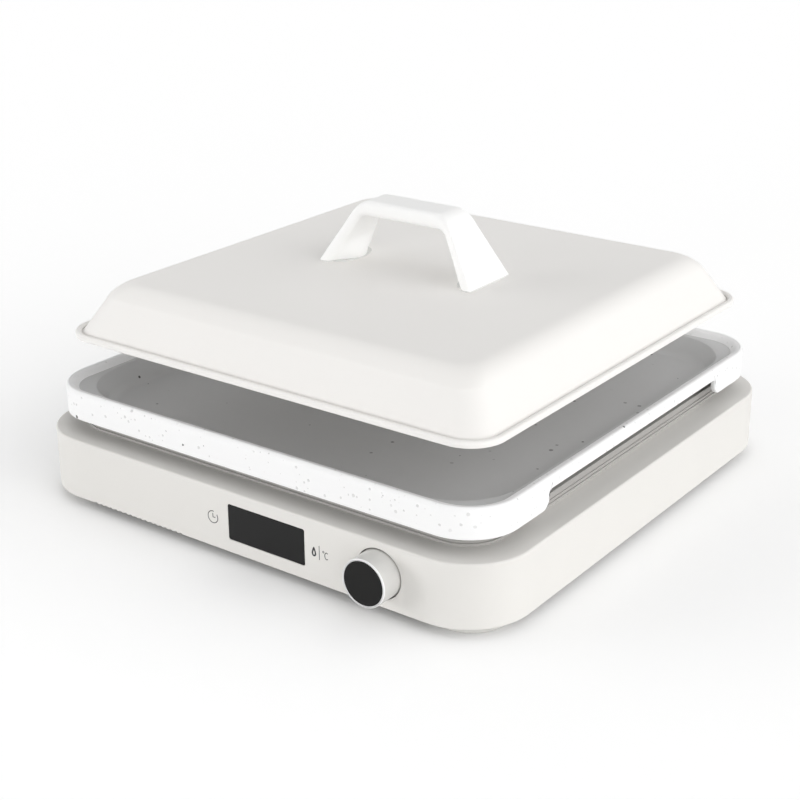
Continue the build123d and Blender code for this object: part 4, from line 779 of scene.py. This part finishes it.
@dataclass
class Pan(Assembly):
    """The cast pan with its finger notches."""

    half: float = 161.8
    corner: float = 31.1
    skirt_low: float = 53.2
    rim: float = 71.7
    skirt_wall: float = 3.2
    skirt_edge: float = 0.8
    rim_inner_half: float = 157.4
    rim_inner_corner: float = 25.9
    ledge: float = 68.0
    ledge_half: float = 153.7
    ledge_corner: float = 22.2
    web: float = 63.9
    bowl_half: float = 151.7
    bowl_corner: float = 40.0
    floor_half: float = 143.2
    floor_corner: float = 31.5
    floor: float = 55.6
    under: float = 50.6
    under_half: float = 146.6
    under_corner: float = 34.9
    notch_half: float = 99.0
    notch_height: float = 10.6
    notch_bend: float = 3.0
    notch_flare: float = 7.0
    bend_steps: int = 7
    notch_rows: int = 9
    outer_rows: int = 6
    notch_lean: float = 0.3         # how far the columns over a notch draw together for its rise
    rim_deep: float = 4.0           # how far the rim's rows reach down the skirt
    web_step: float = 1.7
    shade_gap: float = 0.2           # how far inside the skirt the painted shade starts
    shade_lap: float = 0.1          # how far the bowl's painted shade passes the ledge
    inner_rings: tuple[tuple[float, float], ...] = ((60.0, 20.0), (120.0, 26.0))   # half width and corner

    def edge_path(self) -> Array:
        """The lower edge along one side: level, up a flared notch end, along the notch and down again.

        The flare is a quarter circle that bulges out of the skirt, and the notch's upper corner is a
        quarter circle that bulges the other way.

        Returns:
            Rows of y, the rise above the skirt's lower edge, and the unit direction into the skirt.
        """
        reach = self.half - self.corner
        turn = np.linspace(0, math.pi / 2, self.notch_rows)
        outer_y = np.linspace(reach, self.notch_half + self.notch_flare, self.outer_rows)
        flare_y = self.notch_half + self.notch_flare * (1 - np.sin(turn))
        flare_z = self.notch_flare * (1 - np.cos(turn))
        bend_y = self.notch_half - self.notch_bend * (1 - np.cos(turn))
        bend_z = self.notch_height - self.notch_bend * (1 - np.sin(turn))
        level_y = np.linspace(self.notch_half - self.notch_bend, 0, self.notch_rows)
        half = runs((outer_y[:-1], 0.0, 0.0, 1.0), (flare_y, flare_z, np.sin(turn), np.cos(turn)),
                    (bend_y, bend_z, np.cos(turn), np.sin(turn)), (level_y[1:], self.notch_height, 0.0, 1.0))
        return np.concatenate([half, half[-2::-1] * [-1.0, 1.0, -1.0, 1.0]])

    def columns(self) -> tuple[Array, Array, Array, Array, Array]:
        """Columns round the pan, with the lower edge's own path along the two notched sides.

        Returns:
            Places and normals of the upper rows, places of the lower edge, its rise, and the direction
            into the skirt along the side and upwards.
        """
        outline = Outline(14, 12)
        low_y, low_rise, way_y, way_z = self.edge_path()[1:-1].T
        reach = self.half - self.corner
        top_y = low_y * (1 - self.notch_lean * low_rise / self.notch_half)
        quarters = [part.reshape(4, -1, 2) for part in outline.columns()]
        table = []
        for place, normal, side in zip(*quarters, (0.0, -1.0, 0.0, 1.0)):
            kept = slice(outline.arc_steps + 1) if side else slice(None)
            (x, y), (normal_x, normal_y) = place[kept].T, normal[kept].T
            table.append(stacked(x, y, normal_x, normal_y, x, y, 0.0, 0.0, 1.0))
            if side:
                table.append(stacked(side, -side * top_y / reach, side, 0.0, side, -side * low_y / reach,
                                     low_rise, -side * way_y, way_z))
        whole = np.concatenate(table)
        return whole[:, :2], whole[:, 2:4], whole[:, 4:6], whole[:, 6], whole[:, 7:]

    def build(self) -> None:
        """Makes the pan as one closed skin, from the bowl's middle over the rim and round the lower edge.

        The upper rows are carried as usual. At the lower edge a row of the rounding with angle f is moved
        by r (1 - cos f) into the skirt along the edge's own normal and by r (1 - sin f) inwards.
        """
        upper, faced, lower, rise, way = self.columns()
        top_stations = [
            *level(self.floor, self.inner_rings),
            Station(self.floor_half, self.floor_corner, self.floor, 7.0),
            Station(self.bowl_half, self.bowl_corner, self.ledge, 1.2),
            Station(self.ledge_half, self.ledge_corner, self.ledge, 0.5),
            Station(self.rim_inner_half, self.rim_inner_corner, self.rim, 4.5),
            *wall(self.half, self.corner, (self.rim, 2.0), (self.rim - self.rim_deep,)),
        ]
        top_rows = carried(bent_profile(top_stations, self.bend_steps), upper, faced)
        edge = self.skirt_edge
        turn = np.linspace(math.pi / 2, 0, 7)
        inwards = np.concatenate([[0.0], edge * (1 - np.sin(turn))])
        upwards = np.concatenate([[edge + HOLD], edge * (1 - np.cos(turn))])
        skirt = []
        for inset, lift in ((inwards, upwards), (self.skirt_wall - inwards[::-1], upwards[::-1])):
            profile = stacked(self.half - inset, self.half - inset, self.corner - inset, self.skirt_low)
            rows = carried(profile, lower, faced)
            rows[..., 1] += lift[:, None] * way[:, 0]
            rows[..., 2] += rise + lift[:, None] * way[:, 1]
            skirt.append(rows)
        under_stations = [
            Station(self.half - self.skirt_wall, self.corner - self.skirt_wall, self.web),
            Station(self.bowl_half + self.web_step, self.bowl_corner, self.web, 1.0),
            Station(self.under_half, self.under_corner, self.under, 1.0),
            *level(self.under, self.inner_rings[::-1]),
        ]
        under_rows = carried(bent_profile(under_stations, self.bend_steps), upper, faced)
        rows = np.concatenate([top_rows, *skirt, under_rows])
        pan = self.shop.piece("speckled_pan", rows, CERAMIC, "pan", node="pan_body", slot="pan_coating",
                              crease=45.0)
        # The downward faces inside the skirt take a dark grey: painted shade under the skirt
        inside_skirt = self.half - self.skirt_wall - self.shade_gap
        self.shop.trim(pan, UNDERSIDE_PAINTED_SHADE, looking(-1, inside_skirt, self.corner - self.skirt_wall))
        # The bowl's upward faces take a light grey: painted shade of the lid over the bowl
        lap = self.shade_lap
        self.shop.trim(pan, BOWL_PAINTED_SHADE, looking(1, self.ledge_half + lap, self.ledge_corner + lap))


@dataclass
class Platform(Assembly):
    """The stepped frame on the deck and the heating plate in it."""

    deck: float = 43.8
    top: float = 50.3
    half: float = 151.2
    corner: float = 24.0
    steps: int = 3
    step_depth: float = 0.9
    step_height: float = 1.5
    pocket_half: float = 144.4
    pocket_corner: float = 17.2
    seat: float = 46.0
    hearth_half: float = 140.4
    hearth_corner: float = 13.2
    spigot: float = 2.8
    spigot_wall: float = 1.8
    plate_fit: float = 0.3
    plate_thick: float = 4.3
    plate_land: float = 12.0        # width of the plate's outermost ring
    hole: float = 8.8

    def frame(self) -> None:
        """The die-cast frame as a closed loop of stations, with a small radius on every step."""
        stations: list[Station] = []
        for number in range(self.steps):
            drawn = number * self.step_depth
            low = self.deck + number * self.step_height
            high = self.top if number == self.steps - 1 else low + self.step_height
            foot = (low, 0.15 if number else 0.0)
            stations += wall(self.half - drawn, self.corner - drawn, foot, (high, 0.3))
        inner = self.hearth_half - self.spigot_wall
        inner_corner = self.hearth_corner - self.spigot_wall
        low = self.deck - self.spigot
        stations += [*wall(self.pocket_half, self.pocket_corner, (self.top, 0.3), (self.seat,)),
                     *wall(inner, inner_corner, (self.seat,), (low,)),
                     *wall(self.hearth_half, self.hearth_corner, (low,), (self.deck,))]
        self.shop.piece("platform_frame", swept(stations, Outline(12, 8), 4), FRAME, "base", True,
                        "plinth_frame", "platform_frame")

    def plate(self) -> None:
        """The heating plate, with the probe's hole in the middle.

        Rows from the hole outwards blend a circle with the plate's outline, where the circle's point
        lies in the same direction from the middle as the outline's point.
        """
        half, corner = self.pocket_half - self.plate_fit, self.pocket_corner - self.plate_fit
        stations = [*wall(half, corner, (self.top - self.plate_thick,), (self.top, 0.6)),
                    Station(half - self.plate_land, corner, self.top)]
        edge = swept(stations, Outline(12, 12))
        aim = np.arctan2(edge[-1, :, 1], edge[-1, :, 0])
        ring = stacked(self.hole * np.cos(aim), self.hole * np.sin(aim), self.top)
        share = np.linspace(1, 0, 6)[1:, None, None]
        inner = ring + share * (edge[-1] - ring)
        lower_ring = ring - [0.0, 0.0, self.plate_thick]
        rows = np.concatenate([edge, inner, lower_ring[None]])
        self.shop.piece("heating_plate_cast", rows, PLATE, "base", True, "heating_plate", "platform_plate")

    def build(self) -> None:
        """Makes the frame and the plate."""
        self.frame()
        self.plate()


@dataclass
class Controls(Assembly):
    """Window, printed marks and knob on the front face."""

    front: float = -170.0
    middle: float = 25.1            # height of the knob's and window's middle
    window_x: float = 21.8
    window_width: float = 55.7
    window_height: float = 22.1
    window_corner: float = 1.2
    window_thick: float = 1.8
    window_land: float = 4.0        # width of the window's outermost ring
    knob_x: float = 100.4
    knob_radius: float = 14.0
    knob_proud: float = 13.7
    knob_tuck: float = 1.8
    knob_rim: float = 1.1
    rim_depth: float = 0.7          # how far the rim's white paint reaches back
    disc_sink: float = 0.25
    disc_thick: float = 1.6
    disc_fit: float = 0.05
    disc_land: float = 4.0          # radius of the disc's innermost ring
    knob_draft: float = 0.15        # how much wider the knob is at its back
    knob_web: float = 1.5
    knob_wall: float = 1.5
    hub_long: float = 8.0
    hub_radius: float = 5.2
    bore: float = 3.05
    hole: float = 2.0
    ink: float = 0.05               # how far the printed marks stand proud
    ink_sink: float = 0.1           # how far they reach under the housing's skin

    def set_in(self, stations: Sequence[Station], outline: Outline, x: float, y: float) -> Array:
        """A swept grid whose axis points back from x and y at the controls' height."""
        return swept(stations, outline)[..., [0, 2, 1]] + (x, y, self.middle)

    def window(self) -> None:
        """The flush window with a slight radius round its front edge."""
        half, tall = self.window_width / 2, self.window_height / 2
        places = ((self.window_land, 0.0, 0.0), (0.0, 0.0, 0.2), (0.0, self.window_thick, 0.0),
                  (self.window_land, self.window_thick, 0.0))
        stations = [Station(half - inset, self.window_corner, deep, bend, tall - inset)
                    for inset, deep, bend in places]
        grid = self.set_in(stations, Outline(6, 4), self.window_x, self.front)
        self.shop.piece("display_pane", grid, WINDOW, "base", node="display_window", slot="window_acrylic")

    def knob(self) -> None:
        """The turned shell of the knob and the polished disc let into it."""
        face = self.disc_sink
        back = face + self.disc_thick
        web = back + self.knob_web
        hub = web + self.hub_long
        far = self.knob_proud + self.knob_tuck
        rim = self.knob_radius - self.knob_rim
        inside = self.knob_radius - self.knob_wall
        shell = [disc(*corner) for corner in (
            (self.hole, back), (rim, back), (rim, 0.0, 0.25), (self.knob_radius, 0.0, 0.5),
            (self.knob_radius + self.knob_draft, far, 0.3), (inside, far), (inside, web, 0.5),
            (self.hub_radius, web), (self.hub_radius, hub, 0.3), (self.bore, hub), (self.bore, web),
            (self.hole, web))]
        place = (Outline(24, 0), self.knob_x, self.front - self.knob_proud)
        body = self.shop.piece("knob_body", self.set_in(shell, *place), KNOB, "knob", node="knob_shell",
                               slot="knob_plastic")
        rim_back = self.front - self.knob_proud + self.rim_depth
        self.shop.trim(body, KNOB_RIM, lambda middle, normal: middle[:, 1] < rim_back)
        land, edge = self.disc_land, rim - self.disc_fit
        disc_face = [disc(land, face), disc(edge, face, 0.3), disc(edge, back), disc(land, back)]
        self.shop.piece("knob_disc", self.set_in(disc_face, *place), KNOB_FACE, "knob", node="knob_face",
                        slot="knob_face_plastic")

    def stroke(self, name: str, x: Sequence[float], z: Sequence[float], width: float, loop: bool) -> None:
        """A printed line of even width along a path on the front face.

        Each path point gives four corners: half the width to both sides along the path's normal, on the
        print's face and just under the housing's skin.

        Args:
            name: The piece's name.
            x: The path's places across.
            z: The path's heights above the controls' middle.
            width: The line's width.
            loop: Whether the path closes.
        """
        path = stacked(x, z)
        ahead = np.roll(path, -1, axis=0) - path if loop else np.gradient(path, axis=0)
        behind = path - np.roll(path, 1, axis=0) if loop else ahead
        along = ahead + behind
        along /= np.linalg.norm(along, axis=1, keepdims=True)
        side = stacked(-along[:, 1], along[:, 0]) * width / 2
        left, right = path + side, path - side
        near, deep = self.front - self.ink, self.front + self.ink_sink
        edges = [stacked(flat[:, 0], depth, flat[:, 1] + self.middle)
                 for flat, depth in ((left, near), (right, near), (right, deep), (left, deep))]
        self.shop.piece(name, np.stack(edges, axis=1), PRINT, "base", loop)

    def marks(self) -> None:
        """The printed marks: a timer left of the window, a flame, a bar and degrees on its right."""
        turn = np.radians(np.linspace(78, 395, 44))
        ring_x, ring_z = -17.9, -0.5
        circle = np.linspace(0, 2 * math.pi, 16, endpoint=False)
        open_turn = np.radians(np.linspace(50, 310, 24))
        lap = np.linspace(0, 2 * math.pi, 40, endpoint=False)
        swell = 1.35 * np.sin(lap) * np.sin(lap / 2) ** 1.4
        strokes: dict[str, tuple[Sequence[float], Sequence[float], float, bool]] = {
            "timer_ring": (ring_x + 3.7 * np.cos(turn), ring_z + 3.7 * np.sin(turn), 0.5, False),
            "timer_hand_long": ([ring_x, ring_x], [ring_z, ring_z + 2.4], 0.5, False),
            "timer_hand_short": ([ring_x - 0.25, ring_x + 1.9], [ring_z, ring_z], 0.5, False),
            "divider_bar": ([60.1, 60.1], [-4.2, 4.4], 0.4, False),
            "degree_ring": (63.0 + 0.5 * np.cos(circle), 1.5 + 0.5 * np.sin(circle), 0.3, True),
            "celsius_letter": (65.2 + 1.25 * np.cos(open_turn), -0.45 + 2.0 * np.sin(open_turn), 0.5, False),
            "flame_outline": (56.35 + 1.1 * swell, -0.15 + 2.4 * np.cos(lap), 1.0, True),
        }
        for name, (x, z, width, loop) in strokes.items():
            self.stroke(name, x, z, width, loop)

    def build(self) -> None:
        """Makes everything on the front face."""
        self.window()
        self.knob()
        self.marks()


@dataclass(frozen=True)
class RoomLamp:
    """One broad lamp of the room, seen from the object as a soft lobe.

    Attributes:
        azimuth: Degrees from the front towards the right.
        elevation: Degrees above the floor.
        strength: Strength in the middle of the lobe.
        spread: The lobe is the cosine of the angle from its middle, to this power.
    """

    azimuth: float
    elevation: float
    strength: float
    spread: float = 4.0


ROOM_LAMPS = (
    RoomLamp(120.0, 50.0, 0.42),
    RoomLamp(-120.0, 50.0, 0.8),
    RoomLamp(70.0, 15.0, 1.77),
    RoomLamp(115.0, 15.0, 1.33),
    RoomLamp(-65.0, 2.0, 4.4, 12.0),
    RoomLamp(-45.0, 0.0, 8.8, 60.0),
    RoomLamp(0.0, 0.0, 6.6, 60.0),
    RoomLamp(45.0, 0.0, 3.6, 60.0),
)


@dataclass
class Studio:
    """Camera, world and floor, none of them part of the object.

    The camera stands where the photograph was taken from, worked out from the square base's corners.
    """

    eye: tuple[float, float, float] = (0.54853, -0.74986, 0.42302)
    azimuth: float = 36.4517
    elevation: float = 22.0345
    roll: float = -0.3028
    lens: float = 70.915
    sensor: float = 36.0
    clip: tuple[float, float] = (0.01, 50.0)
    floor_reach: float = 12.0
    floor_lift: float = 0.28        # camera-only glow that brings the open floor to white
    shadow_reach: float = 0.15      # how far from the object the glow starts to fade, a painted shadow on the floor
    shadow_rays: int = 16

    def camera(self) -> None:
        """Aims the camera: its back vector from azimuth and elevation, then the roll about it."""
        azimuth, roll = math.radians(self.azimuth), math.radians(self.roll)
        back = Vector(direction(self.azimuth, self.elevation))
        right = Vector((math.cos(azimuth), math.sin(azimuth), 0.0))
        up = back.cross(right)
        rolled_right = math.cos(roll) * right + math.sin(roll) * up
        rolled_up = math.cos(roll) * up - math.sin(roll) * right
        data = bpy.data.cameras.new("studio_camera")
        data.lens, data.sensor_width, data.sensor_fit = self.lens, self.sensor, "HORIZONTAL"
        data.clip_start, data.clip_end = self.clip
        stand = bpy.data.objects.new("studio_camera", data)
        turn = Matrix((rolled_right, rolled_up, back)).transposed().to_4x4()
        stand.matrix_world = Matrix.Translation(self.eye) @ turn
        bpy.context.scene.collection.objects.link(stand)
        bpy.context.scene.camera = stand

    def world(self) -> None:
        """White behind the object, and a room of broad lamps for its light."""
        world = bpy.data.worlds.new("white_studio")
        bpy.context.scene.world = world
        world.use_nodes = True
        tree = world.node_tree
        tree.nodes.clear()
        way = add_node(tree, "TexCoord").outputs["Generated"]
        total = add_node(tree, "Value").outputs[0]
        for lamp in ROOM_LAMPS:
            aim = {"operation": "DOT_PRODUCT", 1: direction(lamp.azimuth, lamp.elevation)}
            cosine = add_node(tree, "VectorMath", aim, {0: way}).outputs["Value"]
            lobe = maths(tree, "POWER", maths(tree, "MAXIMUM", cosine, 0.0), lamp.spread)
            total = maths(tree, "MULTIPLY_ADD", lobe, lamp.strength, total)
        room = add_node(tree, "Background", {"Color": (1.0, 1.0, 1.0, 1.0)}, {"Strength": total})
        white = add_node(tree, "Background", {"Color": (1.0, 1.0, 1.0, 1.0), "Strength": 1.0})
        mixed = add_node(tree, "MixShader",
                         links={0: self.seen(tree), 1: room.outputs[0], 2: white.outputs[0]})
        add_node(tree, "OutputWorld", links={"Surface": mixed.outputs[0]})

    @staticmethod
    def seen(tree: Tree) -> Socket:
        """1 for what the camera sees directly, in a reflection or through glass."""
        path = add_node(tree, "LightPath").outputs
        return maths(tree, "MAXIMUM", maths(tree, "MAXIMUM", path["Is Camera Ray"], path["Is Glossy Ray"]),
                     path["Is Transmission Ray"])

    def floor(self) -> None:
        """A wide white floor that keeps the object's soft shadow, deepened near the object by a painted
        shadow where its camera-only glow fades.
        """
        mesh = bpy.data.meshes.new("studio_floor")
        reach = self.floor_reach
        mesh.from_pydata([(-reach, -reach, 0), (reach, -reach, 0), (reach, reach, 0), (-reach, reach, 0)],
                         [], [(0, 1, 2, 3)])
        paper = bpy.data.materials.new("studio paper")
        paper.use_nodes = True
        tree = paper.node_tree
        tree.nodes.clear()
        matt = add_node(tree, "BsdfDiffuse", {"Color": linear("#f6f6f6")})
        openness = {"Distance": self.shadow_reach, "samples": self.shadow_rays}
        # Ambient occlusion fades the glow near the object: a painted contact shadow on the floor
        painted_shadow_fade = add_node(tree, "AmbientOcclusion", openness).outputs["AO"]
        lift = maths(tree, "MULTIPLY", painted_shadow_fade, self.floor_lift)
        power = maths(tree, "MULTIPLY", self.seen(tree), lift)
        glow = add_node(tree, "Emission", links={"Strength": power})
        both = add_node(tree, "AddShader", links={0: matt.outputs[0], 1: glow.outputs[0]})
        add_node(tree, "OutputMaterial", links={"Surface": both.outputs[0]})
        mesh.materials.append(paper)
        floor = bpy.data.objects.new("studio_floor", mesh)
        bpy.context.scene.collection.objects.link(floor)

    def build(self) -> None:
        """Sets up the studio."""
        bpy.context.scene.view_settings.view_transform = "Standard"
        self.camera()
        self.world()
        self.floor()


def dress_nodes(frame: dict[str, Any]) -> None:
    """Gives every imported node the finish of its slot.
    """
    for row in frame["record"]["subparts"]:
        node = frame["nodes"][row["node"]]
        node.data.materials.clear()
        node.data.materials.append(SLOT_FINISHES[row["material_slot"]].material())
        LOG.info("%s: dressed as %s", row["node"], row["material_slot"])


def main() -> None:
    """Loads the frame, builds every sub-assembly and sets up the studio."""
    logging.basicConfig(level=logging.INFO, format="%(name)s %(message)s")
    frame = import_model()
    low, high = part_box("base_housing")
    shop = Shop(np.array([(low[0] + high[0]) / 2, (low[1] + high[1]) / 2, 0.0]))
    dress_nodes(frame)
    for assembly in (Lid(shop), Pan(shop), Platform(shop), Controls(shop)):
        assembly.build()
    Studio().build()


if __name__ == "__main__":
    main()
